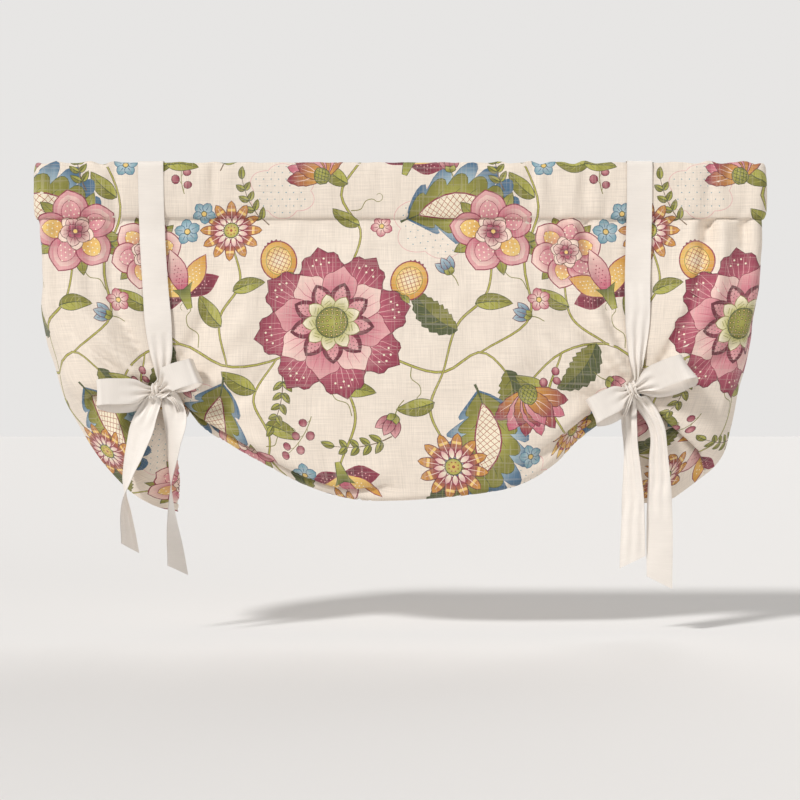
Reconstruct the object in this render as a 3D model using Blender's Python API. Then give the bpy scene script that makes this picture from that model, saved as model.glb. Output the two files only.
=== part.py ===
"""Tie-up valance: one printed cloth with a rod pocket, drawn up by two long ribbons tied in bows.

The origin is the middle of the rod pocket. +X runs along the rod, +Y points back to the wall, +Z is up.
Lengths are in metres. A share runs from 0 to 1 along something, and angles are in degrees.
"""

import math

import bmesh
import bpy
import numpy as np
from mathutils import Vector
from mathutils.bvhtree import BVHTree

# Rod pocket
ROD_SPAN = 1.088
RETURN_DEPTH = 0.050
CORNER_RADIUS = 0.012
POCKET_HEIGHT = 0.088
POCKET_DEPTH = 0.015
SEAM_WIDTH = 0.0012

# Hanging cloth: its thickness, its drop below the seam, how far it stands forward, and where the ribbons are
CLOTH = 0.0018
DROP = 0.440
FORWARD = 0.050
LEFT_TIE_INSET = 0.178
RIGHT_TIE_INSET = 0.187
LOBE_BELLY = 0.020
SWAG_BELLY = 0.014

# Places on the cloth are written as (across, forward, down). Across a side lobe is a share of the way from the
# rod's end to the ribbon, and across the swag a share of the way between the two gathers. Forward is a share of
# FORWARD, or back to the wall a share of RETURN_DEPTH. Down is a share of DROP below the seam.
LEFT_EDGE = (
    (0.0, -1.0, 0.0),
    (0.006, -0.92, 0.173),
    (0.017, -0.80, 0.370),
    (0.101, -0.68, 0.483),
    (0.197, -0.54, 0.609),
    (0.354, -0.36, 0.718),
    (0.534, -0.16, 0.824),
    (0.770, 0.04, 0.923),
    (1.022, 0.20, 0.977),
    (1.191, 0.28, 0.995),
)
LEFT_GATHER = (
    (1.0, 0.0, 0.0),
    (1.011, 0.18, 0.196),
    (1.034, 0.34, 0.400),
    (1.096, 0.40, 0.536),
    (1.278, 0.40, 0.623),
)
LEFT_LOBE_HEM = (
    (1.191, 0.28, 0.995),
    (1.211, 0.60, 0.902),
    (1.197, 0.68, 0.773),
    (1.242, 0.52, 0.677),
    (1.278, 0.40, 0.623),
)
SWAG_HEM = (
    (0.0, 0.40, 0.623),
    (0.018, 0.52, 0.682),
    (0.107, 0.68, 0.775),
    (0.188, 0.78, 0.841),
    (0.263, 0.86, 0.898),
    (0.394, 0.94, 0.952),
    (0.488, 0.96, 0.953),
    (0.570, 0.96, 0.945),
    (0.667, 0.94, 0.930),
    (0.764, 0.88, 0.900),
    (0.850, 0.78, 0.823),
    (0.894, 0.70, 0.757),
    (0.949, 0.60, 0.695),
    (0.989, 0.48, 0.657),
    (1.0, 0.40, 0.625),
)
RIGHT_LOBE_HEM = (
    (1.134, 0.40, 0.625),
    (1.107, 0.54, 0.684),
    (1.080, 0.66, 0.764),
    (1.027, 0.64, 0.832),
    (0.984, 0.28, 0.967),
)
RIGHT_GATHER = (
    (1.0, 0.0, 0.0),
    (1.005, 0.18, 0.196),
    (1.016, 0.34, 0.400),
    (1.037, 0.40, 0.536),
    (1.134, 0.40, 0.625),
)
RIGHT_EDGE = (
    (0.0, -1.0, 0.0),
    (-0.011, -0.92, 0.111),
    (0.011, -0.84, 0.220),
    (0.059, -0.72, 0.404),
    (0.166, -0.56, 0.582),
    (0.235, -0.42, 0.704),
    (0.332, -0.24, 0.814),
    (0.594, 0.04, 0.918),
    (0.759, 0.16, 0.957),
    (0.984, 0.28, 0.967),
)

# Gathers along the rod, and their share of GATHER_HEIGHT as (share of the rod line, share of the height)
GATHER_HEIGHT = 0.0036
GATHER_LENGTH = 0.043
GATHER_FADE = 0.22
POCKET_SWELL = 0.3
TOP_SINK = 0.3
GATHERING = (
    (0.0, 0.3),
    (0.06, 1.0),
    (0.13, 1.0),
    (0.155, 0.15),
    (0.205, 0.15),
    (0.24, 0.6),
    (0.33, 0.2),
    (0.60, 0.2),
    (0.65, 1.0),
    (0.76, 1.0),
    (0.78, 0.15),
    (0.825, 0.15),
    (0.85, 0.9),
    (0.94, 1.0),
    (1.0, 0.3),
)

# Soft upright folds below the seam, as (share of the rod line, lean, half width, height)
SOFT_FOLDS = (
    (0.075, 0.030, 0.030, 0.005),
    (0.308, 0.011, 0.034, 0.005),
    (0.627, 0.003, 0.040, 0.005),
)

# Ridges and valleys that fan out from each knot, as (far, middle and near place from the knot, half width,
# height at the far end, height at the knot)
LEFT_FAN = (
    (((-0.159, 0.242), (-0.109, 0.122), (-0.034, 0.030)), 0.015, 0.002, 0.006),
    (((-0.184, 0.172), (-0.117, 0.082), (-0.039, 0.014)), 0.010, -0.001, -0.005),
    (((-0.079, 0.252), (-0.064, 0.132), (-0.021, 0.040)), 0.009, -0.002, -0.005),
    (((0.106, 0.242), (0.076, 0.122), (0.028, 0.034)), 0.011, -0.002, -0.006),
    (((0.156, 0.212), (0.121, 0.092), (0.043, 0.017)), 0.015, 0.001, 0.006),
    (((0.126, 0.047), (0.099, 0.020), (0.061, 0.002)), 0.016, 0.004, 0.007),
    (((0.191, 0.082), (0.131, -0.008), (0.065, -0.024)), 0.009, -0.001, -0.005),
)
RIGHT_FAN = (
    (((0.149, 0.254), (0.119, 0.120), (0.065, 0.038)), 0.013, 0.006, 0.007),
    (((0.119, 0.254), (0.089, 0.120), (0.041, 0.030)), 0.009, -0.007, -0.006),
    (((0.202, 0.180), (0.137, 0.080), (0.049, 0.015)), 0.016, 0.002, 0.005),
    (((0.202, 0.110), (0.132, 0.048), (0.047, 0.000)), 0.010, -0.001, -0.005),
    (((-0.088, 0.250), (-0.053, 0.120), (-0.010, 0.032)), 0.013, 0.002, 0.006),
    (((-0.065, 0.250), (-0.035, 0.120), (-0.005, 0.038)), 0.008, -0.002, -0.005),
    (((-0.128, 0.180), (-0.075, 0.090), (-0.018, 0.015)), 0.011, -0.001, -0.006),
    (((-0.173, 0.150), (-0.108, 0.050), (-0.031, -0.002)), 0.014, 0.001, 0.006),
    (((-0.193, 0.070), (-0.123, 0.010), (-0.043, -0.018)), 0.010, -0.001, -0.004),
)
FAN_POINTS = 16

# The fold that overlaps each run, as (share across the run, share down the column, share of the full fold)
LEFT_LOBE_FOLD = ((0.0, 0.50, 0.15), (0.3, 0.57, 0.7), (0.7, 0.72, 1.0), (1.0, 0.84, 0.8))
SWAG_FOLD = (
    (0.0, 0.84, 0.8),
    (0.08, 0.92, 1.0),
    (0.25, 0.955, 1.0),
    (0.38, 0.97, 0.7),
    (0.50, 0.93, 0.0),
    (0.72, 0.90, 0.0),
    (0.82, 0.88, 0.8),
    (0.93, 0.90, 1.0),
    (1.0, 0.86, 0.8),
)
RIGHT_LOBE_FOLD = ((0.0, 0.86, 0.8), (0.3, 0.80, 1.0), (0.7, 0.76, 1.0), (1.0, 0.73, 0.4))
FOLD_OVERLAP = 0.08
FOLD_SPACE = 0.014
FOLD_EASE = 0.006
PLAIN_END = 0.96

# How far the lower edge turns up behind, as (share of the rod line, height), and how open that turn is
TURN_UP = ((0.16, 0.014), (0.29, 0.030), (0.46, 0.055), (0.57, 0.055), (0.71, 0.030), (0.84, 0.014))
TURN_SPACE = 0.007

# Ribbon
RIBBON_WIDTH = 0.038
RIBBON = 0.0009
SEAT_GAP = 0.0010
KNOT_WIDTH = 0.024
KNOT_HEIGHT = 0.023
KNOT_DEPTH = 0.018
CORD_WIDTH = 0.006
CORD = 0.0024
PINCH_WIDTH = 0.012
LOOP_MOUTH = 0.010
TAIL_LENGTH = 0.270
BACK_STRAIGHT = 0.45
TOP_BEND = 0.006
LOOP_START = 0.012

# Each tie. Its knot is (aside from the ribbon's place on the rod, share of DROP below the seam). Its strap, from
# the top of the pocket down to the knot, is (aside in ribbon widths, share of the way, share of full width). Its
# run under the hem is (x, y, z) from the foot of the gather. Its loops are (length, direction, lean of the
# width, depth), and its tails (aside and down as shares of TAIL_LENGTH, share of full width, turn).
LEFT_TIE = {
    "name": "left_ribbon_tie",
    "knot": (0.005, 0.585),
    "strap": (
        (-0.19, 0.04, 1.0),
        (-0.17, 0.27, 1.0),
        (-0.05, 0.53, 1.0),
        (0.11, 0.75, 1.0),
        (0.20, 0.87, 0.75),
        (0.19, 0.95, 0.36),
    ),
    "under": (
        (-0.0075, 0.031, 0.018),
        (0.0005, 0.029, -0.010),
        (0.0015, 0.017, -0.019),
        (0.0015, -0.010, -0.020),
        (-0.0015, -0.030, -0.015),
        (-0.0135, -0.040, 0.0),
    ),
    "loops": ((0.093, -179, 4, 0.022), (0.066, 23, 26, 0.020)),
    "tails": (
        (
            (-0.012, 0.039, 0.50, 10),
            (-0.056, 0.161, 0.95, 14),
            (-0.108, 0.328, 0.95, 30),
            (-0.153, 0.476, 0.90, 62),
            (-0.167, 0.543, 0.90, 86),
            (-0.162, 0.643, 0.95, 118),
            (-0.138, 0.839, 1.00, 140),
        ),
        (
            (0.033, 0.035, 0.45, 0),
            (0.088, 0.135, 0.95, 12),
            (0.088, 0.328, 1.00, 40),
            (0.077, 0.543, 1.00, 84),
            (0.084, 0.661, 1.00, 112),
            (0.129, 0.980, 1.00, 145),
        ),
    ),
}
RIGHT_TIE = {
    "name": "right_ribbon_tie",
    "knot": (-0.014, 0.582),
    "strap": (
        (0.05, 0.04, 1.0),
        (0.11, 0.27, 1.0),
        (0.12, 0.53, 1.0),
        (0.17, 0.74, 0.9),
        (0.18, 0.86, 0.6),
        (0.19, 0.95, 0.3),
    ),
    "under": (
        (0.0040, 0.031, 0.019),
        (0.0, 0.029, -0.009),
        (-0.0005, 0.017, -0.019),
        (-0.0005, -0.010, -0.020),
        (0.0, -0.030, -0.015),
        (0.0050, -0.040, 0.001),
    ),
    "loops": ((0.067, -154, 27, 0.020), (0.084, 23, 35, 0.026)),
    "tails": (
        (
            (-0.015, 0.041, 0.45, 0),
            (-0.015, 0.148, 0.70, 40),
            (0.0, 0.370, 0.80, 44),
            (0.007, 0.667, 0.90, 20),
            (0.004, 0.944, 1.00, 4),
        ),
        (
            (0.030, 0.041, 0.45, 0),
            (0.130, 0.185, 0.60, 30),
            (0.148, 0.407, 0.80, 20),
            (0.152, 0.704, 1.00, 5),
            (0.152, 1.056, 1.00, 0),
        ),
    ),
}

# How finely the shapes are cut into faces
COLUMN_STEP = 0.0085
CALM_STEP = 0.017
FRONT_ROWS = 7
POCKET_POINTS = 11
STRAP_STATIONS = 18
BACK_STATIONS = 12
BAND_STATIONS = 52
LOOP_STATIONS = 21
TAIL_STATIONS = 18

# Where the ribbons hang on the rod, and the heights of the seam and of the pocket's top
SEAM_Z = -POCKET_HEIGHT / 2
TOP_Z = POCKET_HEIGHT / 2
LEFT_TIE_X = -ROD_SPAN / 2 + LEFT_TIE_INSET
RIGHT_TIE_X = ROD_SPAN / 2 - RIGHT_TIE_INSET


def curve_through(points, share, measured=3):
    """Rows on a smooth curve through rows of points, at shares of its length over the first few columns."""
    p = np.array(points, float)
    step = np.linalg.norm(np.diff(p[:, :measured], axis=0), axis=1)
    at = np.concatenate([[0.0], np.cumsum(step)]) / step.sum()
    slope = np.gradient(p, at, axis=0)
    share = np.clip(share, 0.0, 1.0)
    k = np.clip(np.searchsorted(at, share, side="right") - 1, 0, len(at) - 2)
    h = (at[k + 1] - at[k])[..., None]
    f = (share[..., None] - at[k][..., None]) / h
    start = (2 * f**3 - 3 * f**2 + 1) * p[k] + (f**3 - 2 * f**2 + f) * h * slope[k]
    end = (3 * f**2 - 2 * f**3) * p[k + 1] + (f**3 - f**2) * h * slope[k + 1]
    return start + end


def table(rows, x, column=1):
    """A value read from rows of (place, value, ...)."""
    rows = np.array(rows, float)
    return np.interp(x, rows[:, 0], rows[:, column])


def rod_line(share):
    """The rod's middle seen from above: places (n, 2) and outward directions (n, 2), from left end to right."""
    side = RETURN_DEPTH - CORNER_RADIUS
    bend = CORNER_RADIUS * math.pi / 2
    total = 2 * (side + bend) + ROD_SPAN - 2 * CORNER_RADIUS
    along = np.minimum(share, 1 - share) * total
    mirror = np.where(share > 0.5, -1.0, 1.0)
    turn = np.clip((along - side) / CORNER_RADIUS, 0, math.pi / 2)
    out = np.stack([-np.cos(turn), -np.sin(turn)], axis=-1)
    centre = np.array([-ROD_SPAN / 2 + CORNER_RADIUS, CORNER_RADIUS])
    place = centre + CORNER_RADIUS * out
    place[..., 1] += np.clip(side - along, 0, None)
    place[..., 0] += np.clip(along - side - bend, 0, None)
    place[..., 0] *= mirror
    out[..., 0] *= mirror
    return place, out


def share_at(x):
    """The share along the rod line of a place x on the front."""
    side = RETURN_DEPTH - CORNER_RADIUS + CORNER_RADIUS * math.pi / 2
    front = ROD_SPAN - 2 * CORNER_RADIUS
    return (side + x + front / 2) / (2 * side + front)


def seam_line(share):
    place, _ = rod_line(share)
    return np.concatenate([place, np.full(place.shape[:-1] + (1,), SEAM_Z)], axis=-1)


def placed(rows, start_x, end_x):
    """Rows of (across, forward, down) as places, with across measured from start_x to end_x."""
    rows = np.array(rows, float)
    across, forward, down = rows.T
    y = -np.where(forward > 0, FORWARD, RETURN_DEPTH) * forward
    return np.stack([start_x + across * (end_x - start_x), y, SEAM_Z - down * DROP], axis=1)


def in_left_lobe(rows):
    return placed(rows, -ROD_SPAN / 2, LEFT_TIE_X)


def in_right_lobe(rows):
    return placed(rows, ROD_SPAN / 2, RIGHT_TIE_X)


def runs():
    """The three runs of the hanging cloth: (first share, last share, first side, last side, hem, belly, fold)."""
    left, right = share_at(LEFT_TIE_X), share_at(RIGHT_TIE_X)
    left_gather, right_gather = in_left_lobe(LEFT_GATHER), in_right_lobe(RIGHT_GATHER)
    swag_hem = placed(SWAG_HEM, left_gather[-1, 0], right_gather[-1, 0])
    left_hem, right_hem = in_left_lobe(LEFT_LOBE_HEM), in_right_lobe(RIGHT_LOBE_HEM)
    return (
        (0.0, left, in_left_lobe(LEFT_EDGE), left_gather, left_hem, LOBE_BELLY, LEFT_LOBE_FOLD),
        (left, right, left_gather, right_gather, swag_hem, SWAG_BELLY, SWAG_FOLD),
        (right, 1.0, right_gather, in_right_lobe(RIGHT_EDGE), right_hem, LOBE_BELLY, RIGHT_LOBE_FOLD),
    )


def ties():
    """Each tie with its place on the rod and the foot of its gather."""
    return (
        (LEFT_TIE, LEFT_TIE_X, in_left_lobe(LEFT_GATHER)[-1], LEFT_FAN),
        (RIGHT_TIE, RIGHT_TIE_X, in_right_lobe(RIGHT_GATHER)[-1], RIGHT_FAN),
    )


def knot_place(tie, x):
    """The knot's middle seen from the front, as (x, z)."""
    aside, down = tie["knot"]
    return x + aside, SEAM_Z - down * DROP


def run_of(share):
    """Which run a share is in, and how far across it."""
    for number, (first, last, *_) in enumerate(runs()):
        if share <= last or number == 2:
            return number, (share - first) / (last - first)


def hanging(share, down):
    """Places on the plain hanging cloth at one share along the rod and shares down from the seam."""
    number, across = run_of(share)
    first, last, side_a, side_b, hem, belly, _ = runs()[number]
    one = np.ones_like(down)
    top = seam_line(one * share)
    low = curve_through(hem, one * across)
    a, b = curve_through(side_a, down), curve_through(side_b, down)
    top_a, top_b = seam_line(one * first), seam_line(one * last)
    low_a, low_b = curve_through(hem, 0 * one), curve_through(hem, one)
    v = down[:, None]
    lofted = (1 - v) * top + v * low + (1 - across) * a + across * b
    corners = (1 - v) * ((1 - across) * top_a + across * top_b) + v * ((1 - across) * low_a + across * low_b)
    place = lofted - corners
    place[:, 1] -= belly * math.sin(math.pi * across) * np.sin(math.pi * np.clip(down, 0, 1)) ** 0.8
    return place


def outward(share, down):
    """The direction away from the window: square to the rod at the top, and straight out below."""
    _, out = rod_line(np.array([share]))
    out = (1 - down)[:, None] * out + down[:, None] * np.array([0.0, -1.0])
    out /= np.linalg.norm(out, axis=1)[:, None]
    return np.concatenate([out, np.zeros((len(down), 1))], axis=1)


def gather_wave(share):
    """The gathers along the rod at a share of its line, uneven in length as gathered cloth is."""
    along = share * ROD_SPAN
    wave = math.sin(2 * math.pi * along / GATHER_LENGTH + 1.3 * math.sin(3 * math.pi * share))
    return GATHER_HEIGHT * table(GATHERING, share) * wave


def fans(x, z):
    """How far the ridges and valleys that fan out from the knots stand out at places on the front."""
    rise = np.zeros_like(x)
    for tie, tie_x, _, fan in ties():
        knot = knot_place(tie, tie_x)
        for route, width, far_height, near_height in fan:
            share = np.linspace(0, 1, FAN_POINTS)
            spots = curve_through(np.array(route) + knot, share, 2)
            away = np.hypot(x[:, None] - spots[:, 0], z[:, None] - spots[:, 1])
            height = far_height + (near_height - far_height) * share[away.argmin(axis=1)]
            rise += height * np.exp(-((away.min(axis=1) / width) ** 2))
    return rise


def gathers(share, down):
    """How far the gathers and soft folds stand out at shares down one column."""
    rise = gather_wave(share) * np.exp(-down / GATHER_FADE)
    along = share * ROD_SPAN
    for middle, lean, width, height in SOFT_FOLDS:
        away = along - middle * ROD_SPAN - lean * down
        rise += height * np.exp(-((away / width) ** 2)) * np.sin(math.pi * np.clip(down, 0, 1))
    return rise


def column_length(share):
    path = hanging(share, np.linspace(0, 1, 12))
    return np.linalg.norm(np.diff(path, axis=0), axis=1).sum()


def fold_rows(share):
    """One column as rows of (share down, distance behind): the front, the overlapping fold and the turn-up."""
    number, across = run_of(share)
    fold = runs()[number][-1]
    at, strength = table(fold, across, 1), table(fold, across, 2)
    length = column_length(share)
    ease, overlap = FOLD_EASE / length, FOLD_OVERLAP * strength
    front = [(at * k / FRONT_ROWS, 0.0) for k in range(1, FRONT_ROWS)]
    folded = (
        (at - ease, 0.0),
        (at, 0.3 * FOLD_SPACE),
        (at - ease, 0.6 * FOLD_SPACE),
        (at - overlap, 0.6 * FOLD_SPACE),
        (at - overlap - ease, 0.8 * FOLD_SPACE),
        (at - overlap, FOLD_SPACE),
    )
    count = len(folded)
    plain = [(at - ease + (PLAIN_END - at + ease) * k / count, 0.0) for k in range(count)]
    overlapping = [
        (p[0] + strength * (f[0] - p[0]), p[1] + strength * (f[1] - p[1])) for p, f in zip(plain, folded)
    ]
    behind = FOLD_SPACE * strength
    turn = table(TURN_UP, share) / length
    turn_ease = TURN_SPACE / 2 / length
    low = (
        (1 - turn_ease, behind),
        (1.0, behind + TURN_SPACE / 2),
        (1 - turn_ease, behind + TURN_SPACE),
        (1 - turn_ease - turn / 2, behind + TURN_SPACE),
        (1 - turn_ease - turn, behind + TURN_SPACE),
    )
    return np.array(front + overlapping + list(low))


def skirt_column(share):
    """The middle of the cloth from just below the seam to the turned-up edge."""
    rows = fold_rows(share)
    down, behind = rows[:, 0], rows[:, 1]
    place = hanging(share, down)
    stand = gathers(share, down) + fans(place[:, 0], place[:, 2])
    shift = stand * np.clip(1 - behind / FOLD_SPACE, 0, 1) - behind
    return place + outward(share, down) * shift[:, None]


def pocket_section():
    """The tunnel round the rod as rows of (outward, up), from the seam's front up and over to its back."""
    turn = np.linspace(-0.5 * math.pi, 1.5 * math.pi, POCKET_POINTS)
    depth, height = np.cos(turn), np.sin(turn)
    out = np.sign(depth) * np.abs(depth) ** 0.6 * POCKET_DEPTH / 2
    out[0], out[-1] = SEAM_WIDTH / 2, -SEAM_WIDTH / 2
    up = np.sign(height) * np.abs(height) ** 0.8 * (POCKET_HEIGHT / 2 - CLOTH)
    return np.stack([out, up], axis=1)


def pocket_column(share, grow):
    """One pocket section, inside or grown to the outer face, with its gathers."""
    section = pocket_section()
    edge = np.gradient(section, axis=0)
    normal = np.stack([edge[:, 1], -edge[:, 0]], axis=1)
    normal /= np.linalg.norm(normal, axis=1)[:, None]
    section = section + grow * normal
    place, out = rod_line(np.array([share]))
    wave = gather_wave(share)
    swell = POCKET_SWELL * wave * np.cos(math.pi * section[:, 1] / POCKET_HEIGHT) * np.sign(section[:, 0])
    column = np.empty((len(section), 3))
    column[:, :2] = place + out * (section[:, :1] + swell[:, None])
    sink = np.clip(section[:, 1] / TOP_Z, 0, 1) ** 4
    column[:, 2] = section[:, 1] - TOP_SINK * (GATHER_HEIGHT + wave) * sink
    return column


def wall(bm, a, b, k, other_way):
    """Two triangles between two loops at place k, split so that both faces of thin cloth bend alike."""
    a0, a1, b0, b1 = a[k], a[(k + 1) % len(a)], b[k], b[(k + 1) % len(b)]
    halves = ((a0, a1, b0), (a1, b1, b0)) if other_way else ((a0, a1, b1), (a0, b1, b0))
    for half in halves:
        bm.faces.new(half)


def column_shares():
    """Columns along the rod, close together where it is gathered, with one exactly at each tie."""
    fine = np.linspace(0, 1, 400)
    step = CALM_STEP + (COLUMN_STEP - CALM_STEP) * table(GATHERING, fine)
    passed = np.concatenate([[0.0], np.cumsum(ROD_SPAN / len(fine) / step[1:])])
    ends = [0.0, share_at(LEFT_TIE_X), share_at(RIGHT_TIE_X), 1.0]
    spans = []
    for first, last in zip(ends, ends[1:]):
        a, b = np.interp([first, last], fine, passed)
        spans.append(np.interp(np.linspace(a, b, round(b - a) + 1), passed, fine)[:-1])
        spans[-1][0] = first
    return np.concatenate([*spans, [1.0]])


def cloth_panel():
    """The panel as one closed body: the outer skin, the tunnel through it, and the raw ends."""
    shares = column_shares()
    middle = np.array([skirt_column(s) for s in shares])
    across, down = np.gradient(middle, axis=0), np.gradient(middle, axis=1)
    normal = np.cross(down, across)
    normal /= np.linalg.norm(normal, axis=2)[:, :, None]
    front, back = middle + normal * CLOTH / 2, middle - normal * CLOTH / 2
    outer = np.array([pocket_column(s, CLOTH) for s in shares])
    inner = np.array([pocket_column(s, 0.0) for s in shares])

    bm = bmesh.new()
    rows = front.shape[1]
    ring = outer.shape[1]

    def grid(places):
        return [[bm.verts.new(Vector(p)) for p in column] for column in places]

    skin = grid(np.concatenate([outer, back, front[:, ::-1]], axis=1))
    tunnel = grid(inner)
    for walls in (skin, tunnel):
        for a, b in zip(walls, walls[1:]):
            for k in range(len(a)):
                wall(bm, a, b, k, k >= ring + rows - 1)
    for loop, hole in ((skin[0], tunnel[0]), (skin[-1], tunnel[-1])):
        for k in range(ring - 1):
            bm.faces.new((loop[k], loop[k + 1], hole[k + 1], hole[k]))
        bm.faces.new((loop[0], hole[0], hole[-1], loop[ring - 1]))
        last = len(loop)
        for k in range(rows):
            above = (loop[ring - 1 + k], loop[(last - k) % last])
            bm.faces.new((above[1], above[0], loop[ring + k], loop[last - 1 - k]))
    return finished(bm, "valance_panel", PRINTED_CLOTH)


def seen_from(panel, start, direction, places):
    """The panel's nearest surface along a direction, from several places at once: the first it meets, or None."""
    hits = [panel.ray_cast(Vector(start(x, z)), Vector(direction))[0] for x, z in places]
    return [hit for hit in hits if hit]


def window(x, z, width, height=0.012):
    return [(x + width * i / 4, z + height * j / 2) for i in range(-2, 3) for j in (-1, 0, 1)]


def in_front(panel, x, z, width, otherwise, height=0.012):
    """How far forward the panel reaches behind a patch of ribbon at (x, z)."""
    hits = seen_from(panel, lambda x, z: (x, -1, z), (0, 1, 0), window(x, z, width, height))
    return min((hit.y for hit in hits), default=otherwise)


def at_back(panel, x, z, width, otherwise):
    hits = seen_from(panel, lambda x, z: (x, 1, z), (0, -1, 0), window(x, z, width))
    return max((hit.y for hit in hits), default=otherwise)


def strip(name, places, across, widths, thick):
    """A closed strip of ribbon along places, with its width along the directions across."""
    places, across = np.array(places, float), np.array(across, float)
    ahead = np.gradient(places, axis=0)
    ahead /= np.linalg.norm(ahead, axis=1)[:, None]
    across -= ahead * (across * ahead).sum(axis=1)[:, None]
    across /= np.linalg.norm(across, axis=1)[:, None]
    face = np.cross(ahead, across)
    side = across * np.array(widths, float)[:, None] / 2
    rise = face * np.array(thick, float)[:, None] / 2
    bm = bmesh.new()
    rings = []
    for corners in zip(places + side + rise, places - side + rise, places - side - rise, places + side - rise):
        rings.append([bm.verts.new(Vector(c)) for c in corners])
    for a, b in zip(rings, rings[1:]):
        for k in range(4):
            wall(bm, a, b, k, k >= 2)
    bm.faces.new(rings[0])
    bm.faces.new(rings[-1])
    return finished(bm, name, RIBBON_SATIN)


def eased(values, keep, reach=2):
    """Each value replaced by the furthest of its neighbours, so that a strip clears the cloth between them."""
    count = len(values)
    return [keep(values[max(0, k - reach) : min(count, k + reach + 1)]) for k in range(count)]


def band(tie, panel, knot, tie_x, foot):
    """The long run from the knot up the front, over the top, down the back and under the hem to the knot."""
    aside, share, width = curve_through(tie["strap"], np.linspace(1, 0, STRAP_STATIONS), 2).T
    x = tie_x + share * (knot[0] - tie_x) + aside * RIBBON_WIDTH
    z = TOP_Z + share * (knot[2] - TOP_Z)
    widths = RIBBON_WIDTH * width
    clear = SEAT_GAP + RIBBON / 2
    front = eased([in_front(panel, *spot, 0) - clear for spot in zip(x, z, widths)], min)
    x_top, y_front = x[-1], front[-1]
    tops = seen_from(panel, lambda x, y: (x, y, 1), (0, 0, -1), window(x_top, 0.0, RIBBON_WIDTH, 0.01))
    z_top = max(hit.z for hit in tops) + clear
    y_back = at_back(panel, x_top, 0.0, RIBBON_WIDTH, 0) + clear
    rows = [(knot[0], knot[1], knot[2] + KNOT_HEIGHT / 4, 0.8 * PINCH_WIDTH)]
    rows += list(zip(x, front, z, widths))
    for share, low in ((1.0, TOP_BEND), (0.8, 0.08 * TOP_BEND)):
        rows.append((x_top, share * y_front, z_top - low, RIBBON_WIDTH))
    rows.append((x_top, (y_front + y_back) / 2, z_top, RIBBON_WIDTH))
    rows.append((x_top, 0.8 * y_back, z_top - 0.08 * TOP_BEND, RIBBON_WIDTH))
    start, end = np.array([x_top, y_back, z_top - TOP_BEND]), foot + tie["under"][0]
    for drop in np.linspace(0, 1, BACK_STATIONS):
        x, y, z = start + (end - start) * drop
        aside = max(0.0, (drop - BACK_STRAIGHT) / (1 - BACK_STRAIGHT))
        x = x_top + (end[0] - x_top) * aside**1.5
        width = RIBBON_WIDTH + (CORD_WIDTH - RIBBON_WIDTH) * aside
        rows.append((x, max(y, at_back(panel, x, z, width, -1) + clear), z, width))
    rows += [(*(foot + place), CORD_WIDTH) for place in tie["under"][1:]]
    rows += [(knot[0] + KNOT_WIDTH / 9, knot[1] + KNOT_DEPTH / 5, knot[2] - KNOT_HEIGHT / 7, CORD_WIDTH)]
    rows = curve_through(rows, np.linspace(0, 1, BAND_STATIONS))
    bunched = 1 - rows[:, 3] / RIBBON_WIDTH
    across = np.tile([1.0, 0.0, 0.0], (len(rows), 1))
    return strip(tie["name"] + "_band", rows[:, :3], across, rows[:, 3], RIBBON + (CORD - RIBBON) * bunched)


def loop(tie, panel, knot, number):
    """One bow loop: out from the knot, round its end and back, its mouth a little open below."""
    length, way, lean, depth = tie["loops"][number]
    way, lean = math.radians(way), math.radians(lean)
    width_way = np.array([math.sin(lean), 0, -math.cos(lean)])
    share = np.linspace(LOOP_START, 1 - LOOP_START, LOOP_STATIONS)
    out = 1 - np.abs(2 * share - 1) ** 2.5
    places = np.array(knot) + length * np.array([math.cos(way), 0, math.sin(way)]) * out[:, None]
    places += width_way * (LOOP_MOUTH * np.clip(2 * share - 1, 0, 1) ** 2 * out)[:, None]
    places[:, 1] -= np.sin(2 * math.pi * share) * depth / 2
    clear = SEAT_GAP + RIBBON
    room = [in_front(panel, x, z, RIBBON_WIDTH, y + 1, RIBBON_WIDTH) - clear - y for x, y, z in places]
    free = out > 0.3
    places[:, 1] += min(0.0, (np.array(room)[free] / out[free]).min()) * out
    widths = PINCH_WIDTH + (RIBBON_WIDTH - PINCH_WIDTH) * np.clip(out / 0.45, 0, 1) ** 0.8
    across = np.tile(width_way, (len(share), 1))
    thick = np.full(len(share), RIBBON)
    return strip(f"{tie['name']}_loop_{number}", places, across, widths, thick)


def tail(tie, panel, knot, number):
    """One hanging end, turned on itself as it falls and cut on a slant."""
    spots = np.array(tie["tails"][number])
    spots[:, 0] = knot[0] + TAIL_LENGTH * spots[:, 0]
    spots[:, 1] = knot[2] - TAIL_LENGTH * spots[:, 1]
    room = []
    for x, z, share, turn in curve_through(spots, np.linspace(0, 1, TAIL_STATIONS), 2):
        half = RIBBON_WIDTH * share / 2
        reach = in_front(panel, x, z, 2 * half * abs(math.cos(math.radians(turn))), 0)
        room.append(reach - SEAT_GAP - half * abs(math.sin(math.radians(turn))))
    y = min(*room, knot[1])
    side = 2 * number - 1
    start = (knot[0] + side * KNOT_WIDTH / 7, knot[1] + side * KNOT_DEPTH / 8, knot[2] - KNOT_HEIGHT / 9)
    rows = [(*start, 0.7 * PINCH_WIDTH, 0.1 * side)]
    rows += [(x, y, z, RIBBON_WIDTH * share, math.radians(turn)) for x, z, share, turn in spots]
    rows = curve_through(rows, np.linspace(0, 1, TAIL_STATIONS))
    across = np.stack([np.cos(rows[:, 4]), -np.sin(rows[:, 4]), 0 * rows[:, 4]], axis=1)
    return strip(f"{tie['name']}_tail_{number}", rows[:, :3], across, rows[:, 3], np.full(len(rows), RIBBON))


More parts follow.
